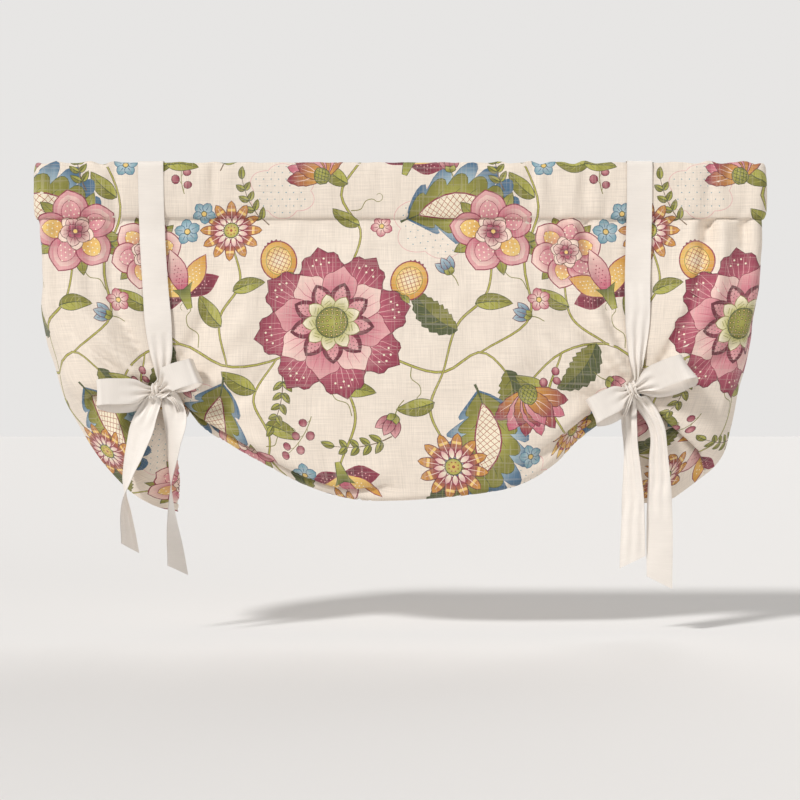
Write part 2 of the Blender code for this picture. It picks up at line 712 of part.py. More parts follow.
def ribbon_tie(tie, tie_x, foot, panel):
    """One ribbon, tied: a knot with its band, loops and tails joined to it."""
    x, z = knot_place(tie, tie_x)
    y = in_front(panel, x, z, KNOT_WIDTH, 0) - SEAT_GAP - KNOT_DEPTH / 2
    bm = bmesh.new()
    bmesh.ops.create_icosphere(bm, subdivisions=2, radius=0.5)
    bmesh.ops.scale(bm, vec=(KNOT_WIDTH, KNOT_DEPTH, KNOT_HEIGHT), verts=bm.verts)
    bmesh.ops.translate(bm, vec=(x, y, z), verts=bm.verts)
    knot = finished(bm, tie["name"], RIBBON_SATIN)
    centre = (x, y, z)
    runs_of_ribbon = [band(tie, panel, centre, tie_x, foot)]
    runs_of_ribbon += [loop(tie, panel, centre, k) for k in (0, 1)]
    runs_of_ribbon += [tail(tie, panel, centre, k) for k in (0, 1)]
    for run in runs_of_ribbon:
        run.hide_render = True
        run.display_type = "WIRE"
        join = knot.modifiers.new("join " + run.name, "BOOLEAN")
        join.operation = "UNION"
        join.use_self = True
        join.object = run
    return knot


def finished(bm, name, material):
    """A named object from a bmesh, faces outward and shaded smooth."""
    bmesh.ops.recalc_face_normals(bm, faces=bm.faces)
    mesh = bpy.data.meshes.new(name)
    bm.to_mesh(mesh)
    bm.free()
    mesh.materials.append(material)
    mesh.shade_smooth()
    thing = bpy.data.objects.new(name, mesh)
    bpy.context.scene.collection.objects.link(thing)
    return thing


def dye(name, colour, roughness):
    """A plain fabric material."""
    material = bpy.data.materials.new(name)
    material.use_nodes = True
    shader = material.node_tree.nodes["Principled BSDF"]
    shader.inputs["Base Color"].default_value = (*colour, 1)
    shader.inputs["Roughness"].default_value = roughness
    shader.inputs["Metallic"].default_value = 0
    return material


for leftover in list(bpy.data.objects):
    bpy.data.objects.remove(leftover)

PRINTED_CLOTH = dye("printed_cloth", (0.79, 0.69, 0.61), 0.85)
RIBBON_SATIN = dye("ribbon_satin", (0.77, 0.70, 0.64), 0.55)

panel_mesh = cloth_panel().data
cloth_surface = BVHTree.FromPolygons([v.co for v in panel_mesh.vertices], [p.vertices for p in panel_mesh.polygons])
for tie, tie_x, foot, _ in ties():
    ribbon_tie(tie, tie_x, foot, cloth_surface)
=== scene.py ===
"""The looks of the tie-up valance: printed slub linen in gathers and folds, and two satin ribbons tied in bows.

Lengths are in metres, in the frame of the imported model: the rod pocket's middle is the origin, +X runs
along the rod, +Y points back to the wall and +Z is up. A share runs from 0 to 1 along something.
"""

import math

import bpy
import numpy as np
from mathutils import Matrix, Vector, geometry, kdtree
from mathutils.bvhtree import BVHTree


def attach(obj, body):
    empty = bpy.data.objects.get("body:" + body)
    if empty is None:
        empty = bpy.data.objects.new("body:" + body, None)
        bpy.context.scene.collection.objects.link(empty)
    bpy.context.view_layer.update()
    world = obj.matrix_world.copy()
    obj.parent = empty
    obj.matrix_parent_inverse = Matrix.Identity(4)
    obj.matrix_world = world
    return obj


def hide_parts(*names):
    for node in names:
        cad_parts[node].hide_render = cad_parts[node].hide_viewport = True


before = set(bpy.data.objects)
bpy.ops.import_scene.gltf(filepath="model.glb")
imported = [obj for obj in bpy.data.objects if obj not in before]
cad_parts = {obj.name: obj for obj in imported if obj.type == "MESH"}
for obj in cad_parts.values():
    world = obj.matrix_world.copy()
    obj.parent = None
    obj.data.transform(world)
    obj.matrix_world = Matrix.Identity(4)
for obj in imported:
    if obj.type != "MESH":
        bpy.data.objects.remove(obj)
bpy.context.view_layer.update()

# Rod pocket
ROD_SPAN = 1.088
RETURN_DEPTH = 0.050
CORNER_RADIUS = 0.012
POCKET_HEIGHT = 0.088
POCKET_DEPTH = 0.015
SEAM_WIDTH = 0.0012

# Hanging cloth: its thickness, its drop below the seam, how far it stands forward, and where the ribbons are
CLOTH = 0.0007
DROP = 0.440
FORWARD = 0.050
LEFT_TIE_INSET = 0.178
RIGHT_TIE_INSET = 0.187
LOBE_BELLY = 0.020
SWAG_BELLY = 0.014

# Places on the cloth are written as (across, forward, down). Across a side lobe is a share of the way from the
# rod's end to the ribbon, and across the swag a share of the way between the two gathers. Forward is a share of
# FORWARD, or back to the wall a share of RETURN_DEPTH. Down is a share of DROP below the seam.
LEFT_EDGE = (
    (0.0, -1.0, 0.0),
    (0.006, -0.92, 0.173),
    (0.017, -0.80, 0.370),
    (0.101, -0.68, 0.483),
    (0.197, -0.54, 0.609),
    (0.354, -0.36, 0.718),
    (0.534, -0.16, 0.824),
    (0.770, 0.04, 0.923),
    (1.022, 0.20, 0.977),
    (1.191, 0.28, 0.995),
)
LEFT_GATHER = (
    (1.0, 0.0, 0.0),
    (1.011, 0.18, 0.196),
    (1.034, 0.34, 0.400),
    (1.096, 0.40, 0.536),
    (1.278, 0.40, 0.623),
)
LEFT_LOBE_HEM = (
    (1.191, 0.28, 0.995),
    (1.211, 0.60, 0.902),
    (1.197, 0.68, 0.773),
    (1.242, 0.52, 0.677),
    (1.278, 0.40, 0.623),
)
SWAG_HEM = (
    (0.0, 0.40, 0.623),
    (0.018, 0.52, 0.682),
    (0.107, 0.68, 0.775),
    (0.188, 0.78, 0.841),
    (0.263, 0.86, 0.898),
    (0.394, 0.94, 0.952),
    (0.488, 0.96, 0.953),
    (0.570, 0.96, 0.945),
    (0.667, 0.94, 0.930),
    (0.764, 0.88, 0.900),
    (0.850, 0.78, 0.823),
    (0.894, 0.70, 0.757),
    (0.949, 0.60, 0.695),
    (0.989, 0.48, 0.657),
    (1.0, 0.40, 0.625),
)
RIGHT_LOBE_HEM = (
    (1.134, 0.40, 0.625),
    (1.107, 0.54, 0.684),
    (1.080, 0.66, 0.764),
    (1.027, 0.64, 0.832),
    (0.984, 0.28, 0.967),
)
RIGHT_GATHER = (
    (1.0, 0.0, 0.0),
    (1.005, 0.18, 0.196),
    (1.016, 0.34, 0.400),
    (1.037, 0.40, 0.536),
    (1.134, 0.40, 0.625),
)
RIGHT_EDGE = (
    (0.0, -1.0, 0.0),
    (-0.011, -0.92, 0.111),
    (0.011, -0.84, 0.220),
    (0.059, -0.72, 0.404),
    (0.166, -0.56, 0.582),
    (0.235, -0.42, 0.704),
    (0.332, -0.24, 0.814),
    (0.594, 0.04, 0.918),
    (0.759, 0.16, 0.957),
    (0.984, 0.28, 0.967),
)

# Gathers along the rod, how full and square the pocket's section is, how far its top dips between the gathers,
# and the gathers' share of GATHER_HEIGHT as (share of the rod line, share of the height)
GATHER_HEIGHT = 0.0048
GATHER_LENGTH = 0.043
GATHER_FADE = 0.22
POCKET_SWELL = 0.5
POCKET_FLAT = 0.6
POCKET_STEEP = 0.8
TOP_SINK = 0.5
GATHERING = (
    (0.0, 0.3),
    (0.06, 1.0),
    (0.13, 1.0),
    (0.155, 0.15),
    (0.205, 0.15),
    (0.24, 0.6),
    (0.33, 0.2),
    (0.60, 0.2),
    (0.65, 1.0),
    (0.76, 1.0),
    (0.78, 0.15),
    (0.825, 0.15),
    (0.85, 0.9),
    (0.94, 1.0),
    (1.0, 0.3),
)

# Soft upright folds below the seam, as (share of the rod line, lean, half width, height)
SOFT_FOLDS = (
    (0.075, 0.030, 0.030, 0.005),
    (0.308, 0.011, 0.034, 0.005),
    (0.627, 0.003, 0.040, 0.005),
)

# Ridges and valleys that fan out from each knot, as (far, middle and near place from the knot, half width,
# height at the far end, height at the knot)
LEFT_FAN = (
    (((-0.159, 0.242), (-0.109, 0.122), (-0.034, 0.030)), 0.015, 0.002, 0.006),
    (((-0.184, 0.172), (-0.117, 0.082), (-0.039, 0.014)), 0.010, -0.001, -0.005),
    (((-0.079, 0.252), (-0.064, 0.132), (-0.021, 0.040)), 0.009, -0.002, -0.005),
    (((0.106, 0.242), (0.076, 0.122), (0.028, 0.034)), 0.011, -0.002, -0.006),
    (((0.156, 0.212), (0.121, 0.092), (0.043, 0.017)), 0.015, 0.001, 0.006),
    (((0.126, 0.047), (0.099, 0.020), (0.061, 0.002)), 0.016, 0.004, 0.007),
    (((0.191, 0.082), (0.131, -0.008), (0.065, -0.024)), 0.009, -0.001, -0.005),
)
RIGHT_FAN = (
    (((0.149, 0.254), (0.119, 0.120), (0.065, 0.038)), 0.013, 0.006, 0.007),
    (((0.119, 0.254), (0.089, 0.120), (0.041, 0.030)), 0.009, -0.007, -0.006),
    (((0.202, 0.180), (0.137, 0.080), (0.049, 0.015)), 0.016, 0.002, 0.005),
    (((0.202, 0.110), (0.132, 0.048), (0.047, 0.000)), 0.010, -0.001, -0.005),
    (((-0.088, 0.250), (-0.053, 0.120), (-0.010, 0.032)), 0.013, 0.002, 0.006),
    (((-0.065, 0.250), (-0.035, 0.120), (-0.005, 0.038)), 0.008, -0.002, -0.005),
    (((-0.128, 0.180), (-0.075, 0.090), (-0.018, 0.015)), 0.011, -0.001, -0.006),
    (((-0.173, 0.150), (-0.108, 0.050), (-0.031, -0.002)), 0.014, 0.001, 0.006),
    (((-0.193, 0.070), (-0.123, 0.010), (-0.043, -0.018)), 0.010, -0.001, -0.004),
)
FAN_POINTS = 24
FAN_RISE = 1.25

# The fold that overlaps each run, as (share across the run, share down the column, share of the full fold)
LEFT_LOBE_FOLD = ((0.0, 0.50, 0.15), (0.3, 0.57, 0.7), (0.7, 0.72, 1.0), (1.0, 0.84, 0.8))
SWAG_FOLD = (
    (0.0, 0.84, 0.8),
    (0.08, 0.92, 1.0),
    (0.25, 0.955, 1.0),
    (0.38, 0.97, 0.7),
    (0.50, 0.93, 0.0),
    (0.72, 0.90, 0.0),
    (0.82, 0.88, 0.8),
    (0.93, 0.90, 1.0),
    (1.0, 0.86, 0.8),
)
RIGHT_LOBE_FOLD = ((0.0, 0.90, 0.8), (0.3, 0.84, 1.0), (0.7, 0.79, 1.0), (1.0, 0.76, 0.5))
FOLD_OVERLAP = 0.08
FOLD_SPACE = 0.017
FOLD_EASE = 0.006
PLAIN_END = 0.96

# How far the lower edge turns up behind, as (share of the rod line, height), and how open that turn is
TURN_UP = ((0.16, 0.014), (0.29, 0.030), (0.46, 0.055), (0.57, 0.055), (0.71, 0.030), (0.84, 0.014))
TURN_SPACE = 0.007

# Ribbon
RIBBON_WIDTH = 0.038
RIBBON = 0.0006
SEAT_GAP = 0.0010
KNOT_WIDTH = 0.024
KNOT_HEIGHT = 0.023
KNOT_DEPTH = 0.018
PINCH_WIDTH = 0.012
TAIL_LENGTH = 0.270
BACK_STRAIGHT = 0.45
TOP_BEND = 0.006

# Each tie. Its knot is (aside from the ribbon's place on the rod, share of DROP below the seam). Its strap, from
# the top of the pocket down to the knot, is (aside in ribbon widths, share of the way, share of full width). Its
# run under the hem is (x, y, z) from the foot of the gather. Its loops are (length, direction, lean of the
# width, route), and its tails (aside and down as shares of TAIL_LENGTH, share of full width, turn).
# A loop's route is (share of its length, forward, drop of the width, share of full width).
LONG_LOOP = (
    (0.03, 0.002, 0.000, 0.30),
    (0.14, 0.007, 0.000, 0.42),
    (0.32, 0.012, 0.000, 0.88),
    (0.60, 0.015, 0.000, 1.0),
    (0.86, 0.015, 0.000, 1.0),
    (0.965, 0.012, 0.001, 1.0),
    (1.000, 0.006, 0.002, 1.0),
    (0.975, -0.001, 0.005, 1.0),
    (0.86, -0.005, 0.010, 1.0),
    (0.60, -0.005, 0.013, 1.0),
    (0.34, -0.003, 0.011, 0.85),
    (0.14, -0.001, 0.004, 0.42),
    (0.02, 0.000, 0.000, 0.30),
)
ROLLED_LOOP = (
    (0.03, 0.002, 0.000, 0.30),
    (0.15, 0.009, 0.000, 0.36),
    (0.26, 0.017, -0.003, 0.62),
    (0.33, 0.026, -0.005, 0.94),
    (0.44, 0.032, -0.005, 1.0),
    (0.65, 0.035, -0.003, 1.0),
    (0.86, 0.031, 0.000, 1.0),
    (0.98, 0.022, 0.002, 1.0),
    (1.00, 0.012, 0.003, 1.0),
    (0.94, 0.004, 0.004, 1.0),
    (0.76, -0.001, 0.005, 1.0),
    (0.48, -0.002, 0.004, 0.80),
    (0.18, -0.001, 0.000, 0.40),
    (0.02, 0.000, 0.000, 0.30),
)
FULL_LOOP = (
    (0.03, 0.002, 0.000, 0.30),
    (0.14, 0.010, -0.001, 0.45),
    (0.32, 0.018, -0.003, 0.90),
    (0.60, 0.023, -0.004, 1.0),
    (0.84, 0.022, -0.002, 1.0),
    (0.96, 0.016, 0.001, 1.0),
    (1.000, 0.008, 0.005, 1.0),
    (0.98, -0.001, 0.010, 1.0),
    (0.85, -0.006, 0.014, 1.0),
    (0.60, -0.007, 0.014, 1.0),
    (0.34, -0.005, 0.010, 0.80),
    (0.14, -0.002, 0.003, 0.42),
    (0.02, 0.000, 0.000, 0.30),
)
LEFT_TIE = {
    "name": "left_ribbon_tie",
    "knot": (0.005, 0.585),
    "strap": (
        (-0.19, 0.04, 1.0),
        (-0.17, 0.27, 1.0),
        (-0.05, 0.53, 1.0),
        (0.11, 0.75, 1.0),
        (0.20, 0.87, 0.75),
        (0.19, 0.95, 0.36),
    ),
    "under": (
        (-0.0075, 0.031, 0.018),
        (-0.0030, 0.029, -0.010),
        (-0.0040, 0.017, -0.019),
        (-0.0055, -0.010, -0.020),
        (-0.0085, -0.030, -0.015),
        (-0.0140, -0.040, 0.0),
    ),
    "loops": ((0.083, -179, 4, LONG_LOOP), (0.070, 27, 24, ROLLED_LOOP)),
    "tails": (
        (
            (-0.012, 0.039, 0.50, 10),
            (-0.056, 0.161, 0.95, 14),
            (-0.108, 0.328, 0.95, 30),
            (-0.150, 0.476, 0.90, 62),
            (-0.163, 0.560, 0.90, 84),
            (-0.158, 0.660, 0.95, 104),
            (-0.134, 0.859, 1.00, 121),
        ),
        (
            (0.060, 0.022, 0.55, 0),
            (0.104, 0.120, 0.92, 14),
            (0.100, 0.300, 1.00, 52),
            (0.088, 0.500, 1.00, 80),
            (0.090, 0.640, 1.00, 97),
            (0.126, 0.980, 1.00, 132),
        ),
    ),
}
RIGHT_TIE = {
    "name": "right_ribbon_tie",
    "knot": (-0.014, 0.582),
    "strap": (
        (0.05, 0.04, 1.0),
        (0.11, 0.27, 1.0),
        (0.12, 0.53, 1.0),
        (0.17, 0.74, 0.9),
        (0.18, 0.86, 0.6),
        (0.19, 0.95, 0.3),
    ),
    "under": (
        (0.0040, 0.031, 0.019),
        (0.0, 0.029, -0.009),
        (-0.0005, 0.017, -0.019),
        (-0.0005, -0.010, -0.020),
        (0.0, -0.030, -0.015),
        (0.0050, -0.040, 0.001),
    ),
    "loops": ((0.069, -154, 27, LONG_LOOP), (0.084, 25, 38, FULL_LOOP)),
    "tails": (
        (
            (-0.015, 0.041, 0.45, 0),
            (-0.015, 0.148, 0.70, 40),
            (0.0, 0.370, 0.80, 44),
            (0.007, 0.667, 0.90, 20),
            (0.004, 0.944, 1.00, 4),
        ),
        (
            (0.030, 0.041, 0.45, 0),
            (0.130, 0.185, 0.60, 30),
            (0.148, 0.407, 0.80, 20),
            (0.152, 0.704, 1.00, 5),
            (0.152, 1.056, 1.00, 0),
        ),
    ),
}

# Where the ribbons hang on the rod, and the heights of the seam and of the pocket's top
SEAM_Z = -POCKET_HEIGHT / 2
TOP_Z = POCKET_HEIGHT / 2
LEFT_TIE_X = -ROD_SPAN / 2 + LEFT_TIE_INSET
RIGHT_TIE_X = ROD_SPAN / 2 - RIGHT_TIE_INSET

# The cloth as it was cut, and how finely its surface is worked out
CLOTH_WIDTH = 1.205
COLUMNS = 960
COARSE_ROWS = 24
POCKET_ROWS = 85
FRONT_ROWS = 7
FRONT_CUTS = 18
FOLD_CUTS = 15
FOLD_ROWS = 11
COLUMN_SKIP = 3
ROW_SKIP = 3
FRONT_SKIPS = (12, 6, 3)
FRONT_BEND = 0.0004
BACK_SKIPS = (16, 8, 4)
BACK_BEND = 0.0008
BACK_SET = 0.0013
OUTLINE_GAP = 0.0016

# A second, shorter wave on the gathers
SHORT_WAVE = 0.45
SHORT_LENGTH = 0.61

# Pinched puckers from the pocket's fold and on both sides of its seam
PUCKERS = 110
PUCKER_START = 0.004
PUCKER_WIDTH = (0.0048, 0.0085)
PUCKER_LENGTH = (0.016, 0.060)
PUCKER_DEPTH = (0.0012, 0.0034)

# Slow unevenness of the whole cloth
SWELLS = 14
SWELL_LENGTH = (0.05, 0.16)
SWELL_HEIGHT = 0.0003

# The photograph's frame: one pixel of its 800 is 1.5 mm on the object
PIXEL = 0.0015
PICTURE = 800
VIEW_DISTANCE = 2.82
VIEW_HEIGHT = -0.315
SENSOR = 36.0
FLOOR_Z = -0.66

# Where the fine rows lie among the few rows that shape a column, and their numbers down the whole cloth
ROW_PLACES = np.concatenate([
    np.arange(FRONT_ROWS * FRONT_CUTS) / FRONT_CUTS,
    FRONT_ROWS + np.arange((FOLD_ROWS - 1) * FOLD_CUTS + 1) / FOLD_CUTS,
])
ROW_NUMBERS = np.arange(POCKET_ROWS + len(ROW_PLACES) - 1)

# The visible ribbons: how finely they are worked out, their pinched widths, pleats, turn round the knot and ends
RIBBON_STEP = 0.003
RIBBON_COLUMNS = 15
STRAP_STATIONS = 60
BACK_STATIONS = 40
LOOP_STATIONS = 80
TAIL_STATIONS = 60
PLEATS = 2.5
PLEAT_DEPTH = 0.0030
UNDER_WIDTH = 0.007
WRAP_WIDTH = 0.015
WRAP_HEIGHT = 0.019
WRAP_DEPTH = 0.016
SELVEDGE = 0.0016
CUP = 0.10
RIPPLE = 0.0004
END_ROWS = 9
END_SLANT = 0.5


def curve_through(points, share, measured=3):
    """Rows on a smooth curve through rows of points, at shares of its length over the first few columns."""
    p = np.array(points, float)
    share = np.clip(np.asarray(share, float), 0.0, 1.0)
    step = np.linalg.norm(np.diff(p[:, :measured], axis=0), axis=1)
    at = np.concatenate([[0.0], np.cumsum(step)]) / step.sum()
    slope = np.gradient(p, at, axis=0)
    k = np.clip(np.searchsorted(at, share, side="right") - 1, 0, len(at) - 2)
    h = (at[k + 1] - at[k])[..., None]
    f = (share[..., None] - at[k][..., None]) / h
    start = (2 * f**3 - 3 * f**2 + 1) * p[k] + (f**3 - 2 * f**2 + f) * h * slope[k]
    end = (3 * f**2 - 2 * f**3) * p[k + 1] + (f**3 - f**2) * h * slope[k + 1]
    return start + end


def table(rows, x, column=1):
    """A value read from rows of (place, value, ...)."""
    rows = np.array(rows, float)
    return np.interp(x, rows[:, 0], rows[:, column])


def softened(values, reach):
    """A running mean over a bell of neighbours, with the ends held."""
    bell = np.hanning(2 * reach + 3)[1:-1]
    padded = np.pad(values, reach, mode="edge")
    return np.convolve(padded, bell / bell.sum(), mode="valid")


def rod_line(share):
    """The rod's middle seen from above: places (n, 2) and outward directions (n, 2), from left end to right."""
    share = np.asarray(share, float)
    side = RETURN_DEPTH - CORNER_RADIUS
    bend = CORNER_RADIUS * math.pi / 2
    total = 2 * (side + bend) + ROD_SPAN - 2 * CORNER_RADIUS
    along = np.minimum(share, 1 - share) * total
    mirror = np.where(share > 0.5, -1.0, 1.0)
    turn = np.clip((along - side) / CORNER_RADIUS, 0, math.pi / 2)
    out = np.stack([-np.cos(turn), -np.sin(turn)], axis=-1)
    centre = np.array([-ROD_SPAN / 2 + CORNER_RADIUS, CORNER_RADIUS])
    place = centre + CORNER_RADIUS * out
    place[..., 1] += np.clip(side - along, 0, None)
    place[..., 0] += np.clip(along - side - bend, 0, None)
    place[..., 0] *= mirror
    out[..., 0] *= mirror
    return place, out


def share_at(x):
    """The share along the rod line of a place x on the front."""
    side = RETURN_DEPTH - CORNER_RADIUS + CORNER_RADIUS * math.pi / 2
    front = ROD_SPAN - 2 * CORNER_RADIUS
    return (side + x + front / 2) / (2 * side + front)


def seam_line(share):
    place, _ = rod_line(share)
    return np.concatenate([place, np.full(place.shape[:-1] + (1,), SEAM_Z)], axis=-1)


def placed(rows, start_x, end_x):
    """Rows of (across, forward, down) as places, with across measured from start_x to end_x."""
    across, forward, down = np.array(rows, float).T
    y = -np.where(forward > 0, FORWARD, RETURN_DEPTH) * forward
    return np.stack([start_x + across * (end_x - start_x), y, SEAM_Z - down * DROP], axis=1)


def in_left_lobe(rows):
    return placed(rows, -ROD_SPAN / 2, LEFT_TIE_X)


def in_right_lobe(rows):
    return placed(rows, ROD_SPAN / 2, RIGHT_TIE_X)


def runs():
    """The three runs of the hanging cloth: (first share, last share, first side, last side, hem, belly, fold)."""
    left, right = share_at(LEFT_TIE_X), share_at(RIGHT_TIE_X)
    left_gather, right_gather = in_left_lobe(LEFT_GATHER), in_right_lobe(RIGHT_GATHER)
    swag_hem = placed(SWAG_HEM, left_gather[-1, 0], right_gather[-1, 0])
    left_hem, right_hem = in_left_lobe(LEFT_LOBE_HEM), in_right_lobe(RIGHT_LOBE_HEM)
    return (
        (0.0, left, in_left_lobe(LEFT_EDGE), left_gather, left_hem, LOBE_BELLY, LEFT_LOBE_FOLD),
        (left, right, left_gather, right_gather, swag_hem, SWAG_BELLY, SWAG_FOLD),
        (right, 1.0, right_gather, in_right_lobe(RIGHT_EDGE), right_hem, LOBE_BELLY, RIGHT_LOBE_FOLD),
    )


def ties():
    """Each tie with its place on the rod, the foot of its gather and its fan of folds."""
    return (
        (LEFT_TIE, LEFT_TIE_X, in_left_lobe(LEFT_GATHER)[-1], LEFT_FAN),
        (RIGHT_TIE, RIGHT_TIE_X, in_right_lobe(RIGHT_GATHER)[-1], RIGHT_FAN),
    )


def knot_place(tie, x):
    """The knot's middle seen from the front, as (x, z)."""
    aside, down = tie["knot"]
    return x + aside, SEAM_Z - down * DROP


def hanging(share, down):
    """Places on the plain hanging cloth, at shares along the rod and down from the seam."""
    share, down = (np.ravel(values) for values in np.broadcast_arrays(share, down))
    place = np.empty((len(share), 3))
    for first, last, side_a, side_b, hem, belly, _ in runs():
        here = (share >= first) & (share <= last)
        s, v = share[here], down[here][:, None]
        across = (s - first) / (last - first)
        w = across[:, None]
        lofted = (1 - v) * seam_line(s) + v * curve_through(hem, across)
        lofted += (1 - w) * curve_through(side_a, v[:, 0]) + w * curve_through(side_b, v[:, 0])
        tops = (1 - w) * seam_line(first) + w * seam_line(last)
        feet = (1 - w) * hem[0] + w * hem[-1]
        spot = lofted - (1 - v) * tops - v * feet
        spot[:, 1] -= belly * np.sin(math.pi * across) * np.sin(math.pi * np.clip(v[:, 0], 0, 1)) ** 0.8
        place[here] = spot
    return place


def fold_profile(share):
    """Where the fold lies down each column and how strong it is, softened along the cloth."""
    at, strength = np.empty(len(share)), np.empty(len(share))
    for first, last, *_, fold in runs():
        here = (share >= first) & (share <= last)
        across = (share[here] - first) / (last - first)
        at[here], strength[here] = table(fold, across, 1), table(fold, across, 2)
    return softened(at, 16), softened(strength, 16)


def skirt_rows(share):
    """For each column, shares down and distances behind along the cloth from the seam to its last edge."""
    at, strength = fold_profile(share)
    coarse = hanging(share[:, None], np.linspace(0, 1, COARSE_ROWS)).reshape(len(share), COARSE_ROWS, 3)
    length = np.linalg.norm(np.diff(coarse, axis=1), axis=2).sum(axis=1)
    turn = softened(table(TURN_UP, share), 16) / length
    down, behind = [], []
    for at_k, s, size, turn_k in zip(at, strength, length, turn):
        ease, overlap, space = FOLD_EASE / size, FOLD_OVERLAP * s, FOLD_SPACE * s
        turn_ease = TURN_SPACE / 2 / size
        folded = (
            (at_k - ease, 0.0),
            (at_k, 0.3 * FOLD_SPACE),
            (at_k - ease, 0.6 * FOLD_SPACE),
            (at_k - overlap, 0.6 * FOLD_SPACE),
            (at_k - overlap - ease, 0.8 * FOLD_SPACE),
            (at_k - overlap, FOLD_SPACE),
        )
        count = len(folded)
        plain = [(at_k - ease + (PLAIN_END - at_k + ease) * k / count, 0.0) for k in range(count)]
        rows = [(at_k * k / FRONT_ROWS, 0.0) for k in range(FRONT_ROWS)]
        rows += [(p[0] + s * (f[0] - p[0]), p[1] + s * (f[1] - p[1])) for p, f in zip(plain, folded)]
        rows += [
            (1 - turn_ease, space),
            (1.0, space + TURN_SPACE / 2),
            (1 - turn_ease, space + TURN_SPACE),
            (1 - turn_ease - turn_k / 2, space + TURN_SPACE),
            (1 - turn_ease - turn_k, space + TURN_SPACE),
        ]
        rows = np.array(rows) * (size, 1)
        passed = np.concatenate([[0.0], np.cumsum(np.linalg.norm(np.diff(rows, axis=0), axis=1))])
        shares = np.interp(ROW_PLACES, np.arange(len(rows)), passed / passed[-1])
        fine = curve_through(rows, shares, 2)
        down.append(fine[:, 0] / size)
        behind.append(fine[:, 1])
    return np.array(down), np.array(behind)


def gather_wave(share):
    """The gathers along the rod, uneven in length as gathered cloth is."""
    along = share * ROD_SPAN
    wave = np.sin(2 * math.pi * along / GATHER_LENGTH + 1.3 * np.sin(3 * math.pi * share))
    wave += SHORT_WAVE * np.sin(2 * math.pi * along / (SHORT_LENGTH * GATHER_LENGTH) + 2 * np.sin(19 * share))
    return GATHER_HEIGHT * table(GATHERING, share) * wave / (1 + SHORT_WAVE / 2)


def fans(x, z):
    """How far the ridges and valleys that fan out from the knots stand out at places on the front."""
    rise = np.zeros_like(x)
    for tie, tie_x, _, fan in ties():
        knot = knot_place(tie, tie_x)
        for route, width, far_height, near_height in fan:
            shares = np.linspace(0, 1, FAN_POINTS)
            spots = curve_through(np.array(route) + knot, shares, 2)
            near = np.full(x.shape, np.inf)
            height = np.zeros_like(x)
            for share, spot in zip(shares, spots):
                away = np.hypot(x - spot[0], z - spot[1])
                closer = away < near
                near = np.where(closer, away, near)
                height = np.where(closer, far_height + (near_height - far_height) * share, height)
            rise += FAN_RISE * height * np.exp(-((near / width) ** 2))
    return rise


def puckers(x, z):
    """Small pinched creases that fade away from the pocket's fold and from its seam."""
    draw = np.random.RandomState(7)
    rise = np.zeros_like(x)
    for _ in range(PUCKERS):
        start_z, way = ((TOP_Z, -1), (SEAM_Z, 1), (SEAM_Z, -1))[draw.randint(3)]
        place = draw.uniform(-ROD_SPAN / 2, ROD_SPAN / 2)
        width = draw.uniform(*PUCKER_WIDTH)
        length = draw.uniform(*PUCKER_LENGTH)
        depth = draw.uniform(*PUCKER_DEPTH) * table(GATHERING, share_at(place))
        drift = draw.uniform(-0.25, 0.25)
        away = (z - start_z) * way
        middle = place + drift * away
        fade = np.exp(-((np.clip(away, 0, None) / length) ** 2)) * np.clip(away / PUCKER_START, 0, 1)
        rise -= depth * fade * np.exp(-(((x - middle) / width) ** 2))
        rise += 0.6 * depth * fade * np.exp(-(((x - middle - 2.2 * width) / (1.5 * width)) ** 2))
    return rise


def swells(x, z):
    """The slow unevenness of cloth that was never quite flat."""
    draw = np.random.RandomState(11)
    rise = np.zeros_like(x)
    for _ in range(SWELLS):
        way = draw.uniform(0, math.pi)
        number = 2 * math.pi / draw.uniform(*SWELL_LENGTH)
        phase = draw.uniform(0, 2 * math.pi)
        rise += SWELL_HEIGHT * np.sin(number * (x * math.cos(way) + z * math.sin(way)) + phase)
    return rise


def gathers(share, down):
    """How far the gathers and soft folds stand out, at places along the rod and shares down."""
    rise = gather_wave(share) * np.exp(-down / GATHER_FADE) * np.clip(down / 0.02, 0, 1) ** 0.5
    along = share * ROD_SPAN
    for middle, lean, width, height in SOFT_FOLDS:
        away = along - middle * ROD_SPAN - lean * down
        rise += height * np.exp(-((away / width) ** 2)) * np.sin(math.pi * np.clip(down, 0, 1))
    return rise


def pocket_rows(share, relief):
    """The tunnel round the rod, column by column, from the back of the seam up and over to its front."""
    turn = np.linspace(1.5 * math.pi, -0.5 * math.pi, POCKET_ROWS)
    depth, height = np.cos(turn), np.sin(turn)
    out = np.sign(depth) * np.abs(depth) ** POCKET_FLAT * (POCKET_DEPTH / 2 + CLOTH)
    out[0], out[-1] = -SEAM_WIDTH, 0.0
    up = np.sign(height) * np.abs(height) ** POCKET_STEEP * (POCKET_HEIGHT / 2 - CLOTH)
    place, direction = rod_line(share)
    x = place[:, :1] + 0 * up
    wave = gather_wave(share)[:, None]
    body = np.cos(math.pi * up / POCKET_HEIGHT)
    swell = POCKET_SWELL * wave * body * np.sign(depth)
    front = np.clip(depth, 0, 1) ** 0.3
    swell = relief * (swell + puckers(x, up + 0 * x) * front * (out > 0))
    rows = np.empty((len(share), POCKET_ROWS, 3))
    rows[:, :, :2] = place[:, None] + direction[:, None] * (out + swell)[:, :, None]
    sink = np.clip(up / TOP_Z, 0, 1) ** 4
    rows[:, :, 2] = up - relief * TOP_SINK * (GATHER_HEIGHT + wave) * sink
    return rows


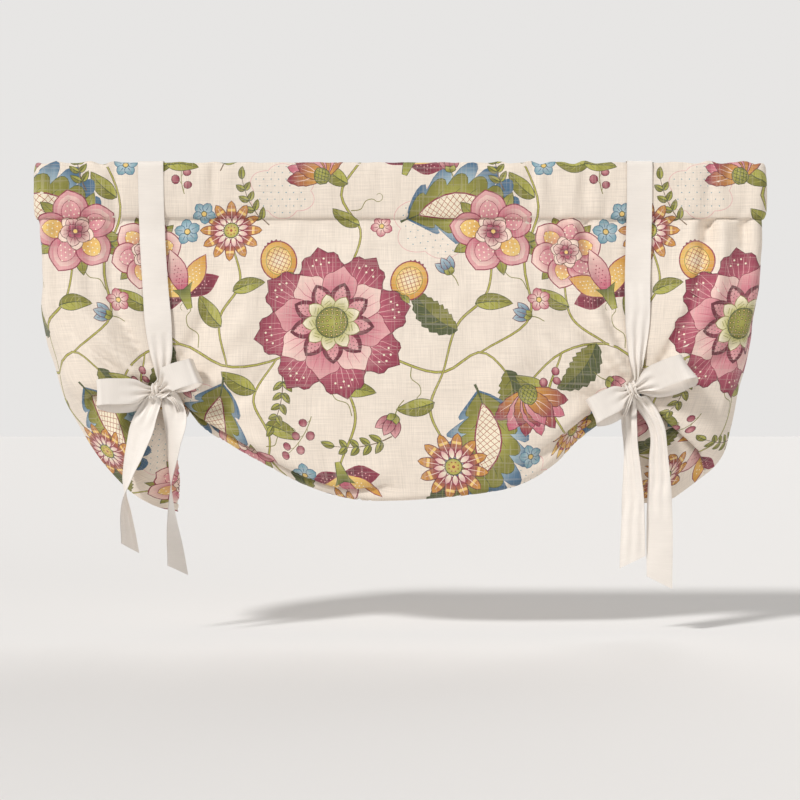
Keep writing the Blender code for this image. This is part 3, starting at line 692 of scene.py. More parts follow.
def cloth_surface():
    """The middle of the cloth as a grid of places, its normals, and each place's flat height above the seam."""
    share = np.linspace(0, 1, COLUMNS + 1)
    down, behind = skirt_rows(share)
    _, out = rod_line(share)
    skirt = hanging(share[:, None], down).reshape(*down.shape, 3)
    lean = (1 - np.clip(down, 0, 1))[..., None] * out[:, None] + np.clip(down, 0, 1)[..., None] * (0.0, -1.0)
    lean /= np.linalg.norm(lean, axis=2)[..., None]
    x, z = skirt[..., 0], skirt[..., 2]
    stand = gathers(share[:, None], down) + fans(x, z) + puckers(x, z) + swells(x, z)

    def laid(relief):
        """The grid of places with a share of its gathers, fans and puckers."""
        shift = relief * stand * np.clip(1 - behind / FOLD_SPACE, 0, 1) - behind
        hung = skirt.copy()
        hung[..., :2] += lean * shift[..., None]
        return np.concatenate([pocket_rows(share, relief), hung[:, 1:]], axis=1)

    places, plain = laid(1.0), laid(0.0)
    along = np.zeros(places.shape[:2])
    along[:, 1:] = np.cumsum(np.linalg.norm(np.diff(plain, axis=1), axis=2), axis=1)
    height = along[:, POCKET_ROWS - 1 : POCKET_ROWS] - along
    across, downward = np.gradient(places, axis=0), np.gradient(places, axis=1)
    normals = np.cross(downward, across)
    normals /= np.linalg.norm(normals, axis=2)[..., None]
    return places, normals, height


def srgb(red, green, blue):
    """A colour written as on a screen, from 0 to 255, in the renderer's linear values."""
    values = np.array([red, green, blue]) / 255
    return np.where(values <= 0.04045, values / 12.92, ((values + 0.055) / 1.055) ** 2.4)


# The colours of the cloth, the print and the ribbon
LINEN = srgb(236, 223, 208)
DEEP = srgb(96, 22, 46)
CRANBERRY = srgb(138, 34, 66)
ROSE = srgb(190, 92, 114)
BLUSH = srgb(224, 162, 164)
SHELL = srgb(240, 208, 196)
CREAM = srgb(244, 232, 206)
OCHRE = srgb(206, 146, 54)
GOLD = srgb(236, 198, 112)
RUST = srgb(166, 82, 52)
OLIVE = srgb(124, 122, 42)
MOSS = srgb(66, 78, 38)
LIME = srgb(172, 170, 74)
TEAL = srgb(92, 146, 160)
BLUE = srgb(62, 102, 132)
MIST = srgb(168, 192, 202)
BARK = srgb(104, 80, 54)
IVORY = srgb(236, 228, 219)


class Ink:
    """A colour field: from one colour at a place to another at a distance from it."""

    def __init__(self, inner, outer=None, centre=(0, 0), start=0.0, end=1.0):
        self.inner, self.outer = inner, inner if outer is None else outer
        self.centre, self.start, self.end = np.array(centre, float), start, end

    def moved(self, at, turn):
        """The same field turned about the origin and moved to a place."""
        return Ink(self.inner, self.outer, turned(self.centre[None], turn)[0] + at, self.start, self.end)


def turned(places, turn):
    """Places turned about the origin."""
    c, s = math.cos(turn), math.sin(turn)
    return places @ np.array([[c, s], [-s, c]])


def moved(shapes, at, turn=0.0):
    """Shapes turned about their own origin and then moved to a place."""
    at = np.array(at, float)
    return [(turned(outline, turn) + at, ink.moved(at, turn)) for outline, ink in shapes]


def bent(shapes, length, angle):
    """Shapes along the y axis bent so that it runs along an arc, which turns by an angle over a length."""
    rate = angle / length

    def bend(places):
        x, y = places.T
        turn = rate * y
        return np.stack([(1 - np.cos(turn)) / rate + x * np.cos(turn), np.sin(turn) / rate - x * np.sin(turn)], axis=1)

    made = []
    for outline, ink in shapes:
        made.append((bend(outline), Ink(ink.inner, ink.outer, bend(ink.centre[None])[0], ink.start, ink.end)))
    return made


def grown(outline, by):
    """An outline moved outward along its own normals."""
    edge = np.roll(outline, -1, axis=0) - np.roll(outline, 1, axis=0)
    normal = np.stack([edge[:, 1], -edge[:, 0]], axis=1)
    size = np.linalg.norm(normal, axis=1)[:, None]
    x, y = outline.T
    way = np.sign(np.sum(x * np.roll(y, -1) - y * np.roll(x, -1)))
    return outline + way * by * normal / np.maximum(size, 1e-9)


def edged(outline, ink, edge=DEEP, line=0.0011):
    """A filled shape with a drawn line round it."""
    return [(grown(outline, line), Ink(edge)), (outline, ink)]


def dot(at, radius, ink, sides=8):
    """A round dot."""
    angle = np.arange(sides) * 2 * math.pi / sides
    return [(np.array(at) + radius * np.stack([np.cos(angle), np.sin(angle)], axis=1), ink)]


def stroke(route, widths, ink, count=12):
    """A drawn line through a few places, its width eased along it."""
    middle = curve_through(route, np.linspace(0, 1, count), 2)
    width = np.interp(np.linspace(0, 1, count), np.linspace(0, 1, len(widths)), widths)
    ahead = np.gradient(middle, axis=0)
    ahead /= np.linalg.norm(ahead, axis=1)[:, None]
    side = np.stack([-ahead[:, 1], ahead[:, 0]], axis=1) * width[:, None] / 2
    return [(np.concatenate([middle - side, (middle + side)[::-1]]), ink)]


def spans(outline, y, margin):
    """Where a level line runs inside a shape, as left and right ends in from its edge by a margin."""
    following = np.roll(outline, -1, axis=0)
    crossing = (outline[:, 1] - y) * (following[:, 1] - y) < 0
    a, b = outline[crossing], following[crossing]
    ends = np.sort(a[:, 0] + (y - a[:, 1]) / (b[:, 1] - a[:, 1]) * (b[:, 0] - a[:, 0]))
    return zip(ends[::2] + margin, ends[1::2] - margin)


def hatched(outline, way, spacing, width, ink, margin=0.0012):
    """Fine parallel lines across a shape, in from its edge by a margin."""
    level = turned(outline, -way)
    shapes = []
    for y in np.arange(level[:, 1].min() + spacing / 2, level[:, 1].max(), spacing):
        for left, right in spans(level, y, margin):
            if right - left > 2 * margin:
                low, high = y - width / 2, y + width / 2
                line = np.array([(left, low), (right, low), (right, high), (left, high)])
                shapes.append((turned(line, way), ink))
    return shapes


def seeds(outline, spacing, radius, ink, margin=0.002, sides=4):
    """Dots in staggered rows inside a shape."""
    low, high = outline[:, 1].min(), outline[:, 1].max()
    shapes = []
    for row, y in enumerate(np.arange(low + spacing / 2, high, 0.87 * spacing)):
        for left, right in spans(outline, y, margin):
            first = math.ceil(left / spacing - row % 2 / 2)
            for k in range(first, math.floor(right / spacing - row % 2 / 2) + 1):
                shapes += dot(((k + row % 2 / 2) * spacing, y), radius, ink, sides)
    return shapes


def petal_outline(length, width, blunt=1.0, frill=0.0, teeth=0):
    """A petal from its foot at the origin up along y: its sides swell and meet, and its tip may be frilled."""
    s = np.linspace(0, 1, int(min(15 if teeth else 9, 5 + length / (0.0035 if teeth else 0.0060))))
    half = width / 2 * np.sin(math.pi * s ** (0.62 + 0.38 / blunt)) ** (0.9 / blunt)
    half[-1] = 0
    right = np.stack([half, length * s], axis=1)
    outline = np.concatenate([right, (right * (-1, 1))[::-1][1:-1]])
    if teeth:
        away = outline - (0, 0.55 * length)
        angle = np.arctan2(away[:, 0], away[:, 1])
        lift = frill * np.cos(teeth * angle) * np.clip(outline[:, 1] / length, 0, 1) ** 1.5
        outline = outline + away / np.linalg.norm(away, axis=1)[:, None] * lift[:, None]
    return outline


def petal(length, width, inner, outer, edge=DEEP, blunt=1.0, frill=0.0, teeth=0, veins=0, vein=None, line=0.0011):
    """A petal that shades from its foot to its tip, with veins drawn up it."""
    outline = petal_outline(length, width, blunt, frill, teeth)
    shapes = edged(outline, Ink(inner, outer, (0, 0), 0.25 * length, 0.95 * length), edge, line)
    for k in range(veins):
        lean = (k - (veins - 1) / 2) / max(veins, 1)
        route = (
            (0.1 * lean * width, 0.22 * length),
            (0.6 * lean * width, 0.52 * length),
            (0.72 * lean * width, 0.82 * length),
        )
        shapes += stroke(route, (0.0014, 0.0009, 0.0004), Ink(edge if vein is None else vein), 3)
    return shapes


def ring(make, count, radius, start=0.0):
    """A ring of copies round the origin, each made pointing up and moved out by the radius."""
    shapes = []
    for k in range(count):
        shapes += moved(moved(make(k), (0, radius)), (0, 0), start + 2 * math.pi * k / count)
    return shapes


def great_bloom(size):
    """The largest flower: three rings of frilled petals round a seeded middle."""
    def outer_petal(k):
        shapes = petal(0.62 * size, 0.62 * size, ROSE, CRANBERRY, DEEP, 1.7, 0.034 * size, 7, 5, BLUSH, 0.0013)
        for aside, up in ((-0.11, 0.42), (0.11, 0.42), (-0.05, 0.49), (0.05, 0.49), (0, 0.42)):
            shapes += dot((aside * size, up * size), 0.016 * size, Ink(CREAM), 5)
        return shapes

    def middle_petal(k):
        colours = (ROSE, BLUSH) if k % 2 else (BLUSH, SHELL)
        return petal(0.48 * size, 0.46 * size, *colours, CRANBERRY, 1.6, 0.026 * size, 5, 3, ROSE)

    def inner_petal(k):
        shapes = petal(0.36 * size, 0.25 * size, CRANBERRY, DEEP, DEEP, 1.1)
        inside = petal_outline(0.28 * size, 0.15 * size, 1.1) + (0, 0.04 * size)
        shapes.append((inside, Ink(ROSE, BLUSH, (0, 0), 0, 0.3 * size)))
        return shapes + seeds(inside, 0.0056, 0.0010, Ink(DEEP), 0.001)

    def heart_petal(k):
        shapes = petal(0.25 * size, 0.18 * size, LIME, CREAM, OLIVE, 1.2)
        return shapes + hatched(petal_outline(0.2 * size, 0.12 * size, 1.2), 0.5, 0.0042, 0.0008, Ink(OLIVE), 0.001)

    shapes = ring(outer_petal, 8, 0.39 * size)
    shapes += ring(middle_petal, 8, 0.27 * size, math.pi / 8)
    shapes += ring(inner_petal, 9, 0.19 * size, 0.2)
    shapes += ring(heart_petal, 9, 0.13 * size)
    shapes += dot((0, 0), 0.215 * size, Ink(MOSS), 24)
    shapes += dot((0, 0), 0.20 * size, Ink(LIME, OLIVE, (0, 0), 0.0, 0.2 * size), 24)
    for count, radius in ((6, 0.065), (12, 0.125), (16, 0.175)):
        for k in range(count):
            angle = 2 * math.pi * (k + 0.5) / count
            at = (radius * size * math.cos(angle), radius * size * math.sin(angle))
            shapes += dot(at, 0.020 * size, Ink(MOSS), 5) + dot(at, 0.011 * size, Ink(GOLD), 4)
    return shapes


def rose(size, count=5, outer=BLUSH, heart=OCHRE):
    """A wide open flower with a patched heart in each petal, pointed leaves between them and a tight bud inside."""
    def sepal(k):
        return petal(0.54 * size, 0.24 * size, LIME, OLIVE, MOSS, 0.8, veins=1)

    def wide(k):
        shapes = petal(0.76 * size, 0.80 * size, ROSE, outer, CRANBERRY, 1.9, 0.018 * size, 5, line=0.0017)
        middle = petal_outline(0.64 * size, 0.64 * size, 1.8) + (0, 0.04 * size)
        shapes.append((middle, Ink(ROSE, SHELL, (0, 0), 0.3 * size, 0.7 * size)))
        inside = petal_outline(0.50 * size, 0.44 * size, 1.5) + (0, 0.06 * size)
        colours = (heart, GOLD) if k % 2 else (ROSE, BLUSH)
        shapes += edged(inside, Ink(*colours, (0, 0), 0.0, 0.5 * size), CRANBERRY, 0.0008)
        return shapes + seeds(inside, 0.0080, 0.0014, Ink(CREAM), 0.0012)

    def bud_petal(k):
        return petal(0.30 * size, 0.30 * size, CRANBERRY, SHELL, DEEP, 1.5, veins=2, vein=CRANBERRY)

    shapes = ring(sepal, count, 0.50 * size, math.pi / count)
    shapes += ring(wide, count, 0.22 * size)
    shapes += ring(lambda k: petal(0.30 * size, 0.30 * size, CREAM, SHELL, BARK, 1.4), count, 0.14 * size, 0.5)
    shapes += ring(bud_petal, 5, 0.06 * size, 0.2)
    shapes += ring(lambda k: petal(0.18 * size, 0.16 * size, DEEP, ROSE, DEEP, 1.3), 4, 0.01 * size, 0.5)
    return shapes + dot((0, 0), 0.05 * size, Ink(GOLD), 8)


def aster(size, rays=12, inner=CRANBERRY, outer=OCHRE, band=GOLD):
    """A small daisy of banded rays round a dotted eye."""
    def ray(k):
        shapes = petal(0.68 * size, 0.30 * size, inner, outer, DEEP, 1.7)
        across = np.array([(-0.12, 0.36), (0.12, 0.36), (0.13, 0.44), (-0.13, 0.44)]) * size
        shapes += [(across, Ink(band))]
        route = ((0, 0.1 * size), (0, 0.34 * size), (0, 0.56 * size))
        return shapes + stroke(route, (0.001, 0.001, 0.0004), Ink(SHELL), 3)

    shapes = ring(ray, rays, 0.32 * size)
    florets = (0.32 * size, 0.15 * size, CREAM, BLUSH, CRANBERRY, 1.1)
    shapes += ring(lambda k: petal(*florets), rays, 0.24 * size, math.pi / rays)
    shapes += dot((0, 0), 0.26 * size, Ink(MOSS), 16)
    shapes += dot((0, 0), 0.23 * size, Ink(GOLD, LIME, (0, 0), 0, 0.22 * size), 16)
    for k in range(8):
        angle = 2 * math.pi * k / 8
        shapes += dot((0.14 * size * math.cos(angle), 0.14 * size * math.sin(angle)), 0.028 * size, Ink(RUST), 4)
    return shapes + dot((0, 0), 0.05 * size, Ink(RUST), 6)


def lily(size):
    """A side view of an opening flower: five pointed petals in turn of colour above a green cup."""
    shapes = []
    for angle, length, inner, outer, mark in (
        (1.20, 0.82, DEEP, CRANBERRY, BLUSH),
        (-1.20, 0.82, DEEP, CRANBERRY, BLUSH),
        (0.66, 1.00, GOLD, OCHRE, CREAM),
        (-0.66, 1.00, GOLD, OCHRE, CREAM),
        (0.0, 1.12, ROSE, SHELL, CRANBERRY),
    ):
        leafy = petal(length * size, 0.42 * size, inner, outer, CRANBERRY, 0.8, line=0.0016)
        inside = petal_outline(0.74 * length * size, 0.24 * size, 0.8) + (0, 0.10 * size)
        leafy += seeds(inside, 0.0060, 0.0012, Ink(mark), 0.0008)
        shapes += moved(bent(leafy, size, -0.35 * angle) if angle else leafy, (0, 0), angle)
    cup = np.array([(-0.13, 0.12), (-0.24, 0.26), (0, 0.18), (0.24, 0.26), (0.13, 0.12), (0.05, -0.26), (-0.05, -0.26)])
    return shapes + edged(cup[::-1] * size, Ink(MOSS, LIME, (0, 0.25 * size), 0, 0.5 * size), MOSS)


def fan_flower(size, first=CRANBERRY, second=OCHRE):
    """Half a round flower seen from the side: a fan of toothed, striped petals on a scaly cup."""
    shapes = []
    for order in (0, 1):
        for k in range(order - 3, 4 - order):
            angle = k * 0.40 if order == 0 else k * 0.40 + 0.2 * (k < 0) - 0.2 * (k > 0)
            colours = (second, first) if (k + order) % 2 else (BLUSH, ROSE)
            blade = petal((1.0 - 0.22 * order) * size, 0.46 * size, *colours, DEEP, 1.9, 0.03 * size, 7, 2, SHELL)
            shapes += moved(blade, (0, 0), angle)
    cup = petal_outline(0.50 * size, 0.44 * size, 1.8) - (0, 0.26 * size)
    shapes += edged(cup, Ink(LIME, OLIVE, (0, 0.1 * size), 0, 0.4 * size), MOSS, 0.0014)
    shapes += hatched(cup, 0.9, 0.0050, 0.0009, Ink(MOSS)) + hatched(cup, -0.9, 0.0050, 0.0009, Ink(MOSS))
    return shapes


def fruit(size):
    """A round latticed fruit with a pointed crown."""
    shapes = []
    for angle in (0.75, -0.75, 0.38, -0.38, 0.0):
        crown = petal(0.62 * size, 0.28 * size, ROSE, CRANBERRY, DEEP, 0.9, veins=1, vein=BLUSH)
        shapes += moved(crown, (0, 1.45 * size), angle)
    angle = np.arange(28) * 2 * math.pi / 28
    body = np.stack([0.86 * np.sin(angle), 0.95 - np.cos(angle)], axis=1) * size
    shapes += edged(body, Ink(GOLD, OCHRE, (-0.2 * size, 1.2 * size), 0.2 * size, 1.1 * size), CRANBERRY, 0.0018)
    inside = (body - (0, 0.95 * size)) * 0.72 + (0, 0.95 * size)
    shapes += edged(inside, Ink(CREAM, GOLD, (0, 0.95 * size), 0, 0.7 * size), OLIVE, 0.0009)
    shapes += hatched(inside, 0.8, 0.0060, 0.0009, Ink(RUST)) + hatched(inside, -0.8, 0.0060, 0.0009, Ink(RUST))
    for angle in (1.9, -1.9):
        shapes += moved(petal(0.55 * size, 0.30 * size, OLIVE, LIME, MOSS, 0.8, veins=1), (0, 0.12 * size), angle)
    return shapes


def blossom(size, inner=MIST, outer=TEAL, edge=BLUE):
    """A little five-petalled flower."""
    shapes = ring(lambda k: petal(0.80 * size, 0.74 * size, inner, outer, edge, 1.8, veins=1), 5, 0.18 * size)
    return shapes + dot((0, 0), 0.26 * size, Ink(MOSS), 10) + dot((0, 0), 0.19 * size, Ink(GOLD), 10)


def bud(size, inner=CRANBERRY, outer=BLUSH):
    """A closed bud in a green cup on a short stalk."""
    shapes = stroke(((0, -0.8 * size), (0.06 * size, -0.4 * size), (0, 0)), (0.0012, 0.0016), Ink(OLIVE), 6)
    for angle in (0.5, -0.5, 0.0):
        shapes += moved(petal(0.95 * size, 0.46 * size, inner, outer, DEEP, 1.0, veins=1), (0, 0), angle)
    for angle in (0.55, -0.55):
        shapes += moved(petal(0.42 * size, 0.28 * size, OLIVE, LIME, MOSS, 0.8), (0, -0.08 * size), angle)
    return shapes


def leaf(length, width, angle=0.5, light=LIME, dark=OLIVE, edge=MOSS, teeth=0, veins=4):
    """A leaf in two greens, its halves meeting at a bent midrib, with side veins and an optional toothed edge."""
    s = np.linspace(0, 1, int(min(13, 5 + length / 0.006)) if not teeth else 3 * teeth + 1)
    half = width / 2 * np.sin(math.pi * s**0.8) ** 0.85
    if teeth:
        half = half * (0.86 + 0.30 * ((s * teeth) % 1))
    half[0] = half[-1] = 0
    spine = np.stack([0 * s, length * s], axis=1)
    right, left = spine + half[:, None] * (1, 0), spine - half[:, None] * (1, 0)
    shapes = [(grown(np.concatenate([right, left[::-1][1:-1]]), 0.0010), Ink(edge))]
    shapes += [(np.concatenate([right, spine[::-1][1:-1]]), Ink(light, dark, (0, 0), 0.3 * length, 1.2 * length))]
    shapes += [(np.concatenate([spine, left[::-1][1:-1]]), Ink(dark))]
    for k in range(1, veins + 1):
        y = k / (veins + 1.2)
        reach = 0.72 * np.interp(y + 0.12, s, half)
        for side, colour in ((1, dark), (-1, light)):
            route = ((0, y * length), (side * 0.5 * reach, (y + 0.05) * length), (side * reach, (y + 0.14) * length))
            shapes += stroke(route, (0.0010, 0.0008, 0.0003), Ink(colour), 3)
    rib = ((0, 0), (0, 0.5 * length), (0, 0.94 * length))
    shapes += stroke(rib, (0.0017, 0.0012, 0.0004), Ink(edge), 4 if length < 0.03 else 7)
    return bent(shapes, length, angle)


def great_leaf(length, width, angle=0.9):
    """A broad scalloped leaf: a blue frill, a green blade and a pale latticed heart inside a dark line."""
    def blade(scale, frill, lobes, lift, foot, tip):
        s = np.linspace(0, 1, 6 * lobes + 1)
        half = scale * width / 2 * np.sin(math.pi * s**0.8) ** 0.75
        half = half * (1 - frill / 2 + frill * np.abs(np.sin(lobes * math.pi * s)) ** 0.7)
        half[0] = half[-1] = 0
        y = length * (foot + (tip - foot) * s)
        right = np.stack([half, y + lift * half], axis=1)
        return np.concatenate([right, (right * (-1, 1))[::-1][1:-1]])

    scallops = Ink(MIST, BLUE, (0, 0.5 * length), 0.34 * width, 0.60 * width)
    green = Ink(LIME, OLIVE, (0, 0.45 * length), 0.1 * width, 0.42 * width)
    shapes = edged(blade(1.0, 0.50, 6, 0.45, 0.0, 1.0), scallops, BLUE)
    shapes += edged(blade(0.74, 0.40, 6, 0.35, 0.02, 0.97), green, MOSS, 0.0009)
    for k in range(1, 6):
        for side in (-1, 1):
            y = length * (0.12 + 0.13 * k)
            route = ((0, y), (side * 0.14 * width, y + 0.05 * length), (side * 0.24 * width, y + 0.12 * length))
            shapes += stroke(route, (0.0012, 0.0010, 0.0004), Ink(MOSS), 5)
    heart = petal_outline(0.66 * length, 0.34 * width, 0.95) + (0, 0.12 * length)
    shapes += edged(heart, Ink(CREAM), CRANBERRY, 0.0022)
    shapes += hatched(heart, 0.75, 0.0068, 0.0008, Ink(RUST)) + hatched(heart, -0.75, 0.0068, 0.0008, Ink(RUST))
    shapes += stroke(((0, -0.06 * length), (0, 0.04 * length), (0, 0.14 * length)), (0.004, 0.003, 0.001), Ink(MOSS), 5)
    return bent(shapes, length, angle)


def sprig(length, pairs=4, size=0.020, light=LIME, dark=OLIVE, angle=0.7):
    """A curved twig with leaflets in pairs and one at its tip."""
    s = np.linspace(0, 1, pairs + 2)
    shapes = stroke(((0, 0), (0, 0.5 * length), (0, length)), (0.0018, 0.0008), Ink(BARK), 8)
    for k in range(1, pairs + 1):
        for side in (-1, 1):
            leaflet = leaf(size * (1.05 - 0.08 * k), 0.42 * size, 0.3 * side, light, dark, veins=0)
            shapes += moved(leaflet, (0, length * s[k]), 0.95 * side)
    return bent(shapes + moved(leaf(size, 0.45 * size, 0.2, light, dark, veins=0), (0, length)), length, angle)


def berries(length, count=6, size=0.0068, skin=CRANBERRY, shine=BLUSH):
    """A bent stalk of round berries."""
    s = np.linspace(0, 1, count + 1)
    shapes = stroke(((0, 0), (0, 0.5 * length), (0, length)), (0.0014, 0.0008), Ink(OLIVE), 10)
    for k in range(1, count + 1):
        at = np.array([size * (1.3 if k % 2 else -1.3) * (k < count), length * s[k] + 0.2 * size])
        stalk = ((0, length * s[k] - size), at / 2 + (0, length * s[k] / 2), at)
        shapes += stroke(stalk, (0.0008, 0.0008), Ink(OLIVE), 3)
        shapes += dot(at, size, Ink(DEEP), 10)
        shapes += dot(at, 0.84 * size, Ink(shine, skin, at - (0.25 * size, -0.3 * size), 0.1 * size, 0.9 * size), 10)
    return bent(shapes, length, 0.8)


def tendril(length, ink=OLIVE):
    """A thin shoot that ends in a curl."""
    turn = np.linspace(0, 1, 9)
    curl = 0.16 * length * (1 - 0.6 * turn)[:, None]
    curl = curl * np.stack([np.sin(5.2 * turn), -np.cos(5.2 * turn)], axis=1) + (0.05 * length, 0.86 * length)
    route = [(0, 0), (0.10 * length, 0.25 * length), (-0.02 * length, 0.5 * length), *curl]
    return stroke(route, (0.0014, 0.0012, 0.0007), Ink(ink), 26)


def dotted_ground(size):
    """A scalloped patch outlined in a pale line and filled with fine blue dots."""
    angle = np.linspace(0, 2 * math.pi, 61)[:-1]
    reach = size * (0.82 + 0.18 * np.abs(np.sin(3 * angle)))
    outline = np.stack([1.25 * reach * np.cos(angle), reach * np.sin(angle)], axis=1)
    shapes = edged(outline, Ink(LINEN), BLUSH, 0.0008)
    return shapes + seeds(outline * 0.92, 0.0115, 0.0011, Ink(TEAL), 0.002)


def vine(route, width=0.0044):
    """A main stem in two tones."""
    shapes = stroke(route, (0.7 * width, width, 0.7 * width), Ink(BARK), 24)
    return shapes + stroke(route, (0.38 * width, 0.60 * width, 0.38 * width), Ink(LIME), 24)


# One repeat of the print is as wide and high as this
REPEAT_WIDTH = 0.640
REPEAT_HEIGHT = 0.655

# Stems, as routes of (x, height above the seam)
VINES = (
    ((-0.470, -0.262), (-0.405, -0.205), (-0.330, -0.190), (-0.255, -0.225), (-0.180, -0.215), (-0.100, -0.160)),
    ((-0.100, -0.160), (-0.010, -0.215), (0.060, -0.235), (0.115, -0.205), (0.170, -0.262)),
    ((-0.255, -0.225), (-0.268, -0.150), (-0.240, -0.100), (-0.255, -0.040)),
    ((0.060, -0.235), (0.085, -0.160), (0.125, -0.120), (0.140, -0.050)),
    ((-0.330, -0.190), (-0.385, -0.150), (-0.395, -0.090)),
    ((0.060, -0.235), (0.040, -0.290), (0.062, -0.350)),
    ((-0.180, -0.215), (-0.215, -0.275), (-0.195, -0.330), (-0.235, -0.400)),
    ((-0.085, -0.100), (-0.060, -0.020), (-0.090, 0.040), (-0.060, 0.100), (-0.090, 0.160)),
    ((-0.405, -0.205), (-0.430, -0.280), (-0.385, -0.350)),
    ((0.115, -0.205), (0.190, -0.150), (0.186, -0.070), (0.212, 0.020), (0.180, 0.110)),
    ((-0.100, -0.220), (-0.065, -0.300), (-0.095, -0.380)),
    ((-0.235, -0.400), (-0.180, -0.470), (-0.090, -0.490), (0.020, -0.455), (0.100, -0.480)),
)

# The motifs from the lowest layer up, as (what, size, x, height above the seam, turn in degrees)
MOTIFS = (
    ("dotted_ground", 0.058, 0.060, -0.005, 10),
    ("dotted_ground", 0.050, -0.300, -0.300, -15),
    ("dotted_ground", 0.052, 0.150, -0.405, 20),
    ("dotted_ground", 0.042, -0.180, 0.045, 0),
    ("tendril", 0.075, -0.300, -0.196, 25),
    ("tendril", 0.060, 0.015, -0.228, -160),
    ("tendril", 0.055, -0.075, 0.015, -60),
    ("tendril", 0.065, 0.188, -0.110, 50),
    ("tendril", 0.060, -0.425, -0.285, 60),
    ("tendril", 0.070, -0.070, -0.300, 40),
    ("tendril", 0.060, -0.205, -0.345, -60),
    ("leaf", 0.060, -0.266, -0.165, 50),
    ("leaf", 0.050, -0.250, -0.112, -60),
    ("toothed", 0.100, -0.345, -0.190, 160),
    ("toothed", 0.092, 0.082, -0.172, 70),
    ("leaf", 0.055, 0.110, -0.132, -75),
    ("leaf", 0.055, -0.388, -0.135, 75),
    ("toothed", 0.095, 0.150, -0.232, -155),
    ("leaf", 0.055, 0.046, -0.280, 115),
    ("leaf", 0.060, -0.212, -0.262, 75),
    ("leaf", 0.055, -0.198, -0.312, -100),
    ("leaf", 0.050, -0.062, -0.010, 70),
    ("leaf", 0.055, -0.080, 0.055, 65),
    ("leaf", 0.055, -0.428, -0.262, 80),
    ("toothed", 0.085, 0.188, -0.050, -60),
    ("leaf", 0.055, 0.206, 0.035, 60),
    ("leaf", 0.050, -0.085, -0.262, -80),
    ("toothed", 0.080, -0.150, -0.480, 20),
    ("toothed", 0.080, 0.030, -0.455, -20),
    ("great_leaf", 0.175, 0.010, 0.000, -62),
    ("great_leaf", 0.165, -0.262, -0.250, 168),
    ("great_leaf", 0.165, 0.108, -0.262, 200),
    ("sprig", 0.085, -0.172, -0.232, -170),
    ("sprig", 0.085, -0.200, -0.010, 50),
    ("sprig", 0.075, 0.160, 0.045, 30),
    ("sprig", 0.085, -0.015, -0.330, 120),
    ("berries", 0.075, -0.128, -0.300, 165),
    ("berries", 0.070, 0.208, -0.300, 10),
    ("berries", 0.065, -0.330, 0.040, 20),
    ("fruit", 0.030, -0.172, -0.092, 22),
    ("fruit", 0.030, 0.000, -0.122, -28),
    ("rose", 0.066, 0.142, -0.020, 10),
    ("rose", 0.060, -0.240, -0.405, 30),
    ("pale_rose", 0.056, -0.388, -0.052, -14),
    ("aster", 0.047, -0.258, -0.018, 0),
    ("aster", 0.050, 0.068, -0.375, 20),
    ("gold_aster", 0.040, -0.385, -0.370, 8),
    ("lily", 0.070, -0.322, -0.120, 22),
    ("lily", 0.066, 0.012, 0.085, -18),
    ("lily", 0.066, -0.092, -0.385, -170),
    ("fan_flower", 0.060, 0.180, -0.268, -165),
    ("fan_flower", 0.052, -0.120, 0.068, 30),
    ("bud", 0.034, -0.010, -0.300, 150),
    ("bud", 0.032, -0.330, -0.245, -120),
    ("bud", 0.030, 0.078, 0.075, 10),
    ("blossom", 0.020, -0.325, -0.020, 10),
    ("blossom", 0.018, -0.300, 0.010, 40),
    ("pink_blossom", 0.018, 0.205, -0.125, 10),
    ("pink_blossom", 0.017, -0.028, -0.012, 30),
    ("blossom", 0.020, -0.150, -0.390, 0),
    ("pink_blossom", 0.018, -0.325, -0.430, 0),
    ("blossom", 0.018, 0.180, -0.360, 20),
    ("blue_bud", 0.028, -0.450, -0.150, 70),
    ("blue_bud", 0.028, 0.075, -0.085, 30),
    ("great_bloom", 0.112, -0.100, -0.160, 12),
    ("aster", 0.042, -0.085, 0.165, 0),
    ("lily", 0.060, -0.355, 0.105, -12),
    ("leaf", 0.050, -0.352, 0.085, 100),
    ("leaf", 0.050, -0.358, 0.085, -80),
    ("sprig", 0.075, -0.275, 0.075, -20),
    ("blossom", 0.019, -0.420, 0.085, 0),
    ("berries", 0.060, -0.430, 0.115, 25),
    ("pink_blossom", 0.018, -0.235, 0.170, 0),
    ("pale_rose", 0.056, 0.105, -0.500, 0),
)


def inside(places, outline):
    """Whether every place lies inside an outline."""
    following = np.roll(outline, -1, axis=0)
    x, y = places[:, :1], places[:, 1:]
    spans = (outline[:, 1] > y) != (following[:, 1] > y)
    rise = np.where(following[:, 1] == outline[:, 1], 1.0, following[:, 1] - outline[:, 1])
    crossing = outline[:, 0] + (y - outline[:, 1]) / rise * (following[:, 0] - outline[:, 0])
    return ((spans & (x < crossing)).sum(axis=1) % 2 == 1).all()


def showing(shapes):
    """The shapes that don't lie wholly under a later one."""
    boxes = np.array([[*outline.min(axis=0), *outline.max(axis=0)] for outline, _ in shapes])
    kept = []
    for number, (outline, ink) in enumerate(shapes):
        left, low, right, high = boxes[number]
        later = boxes[number + 1 :]
        over = (later[:, 0] < left) & (later[:, 1] < low) & (later[:, 2] > right) & (later[:, 3] > high)
        covers = np.nonzero(over)[0] + number + 1
        if not any(inside(outline, shapes[k][0]) for k in covers):
            kept.append((outline, ink))
    return kept


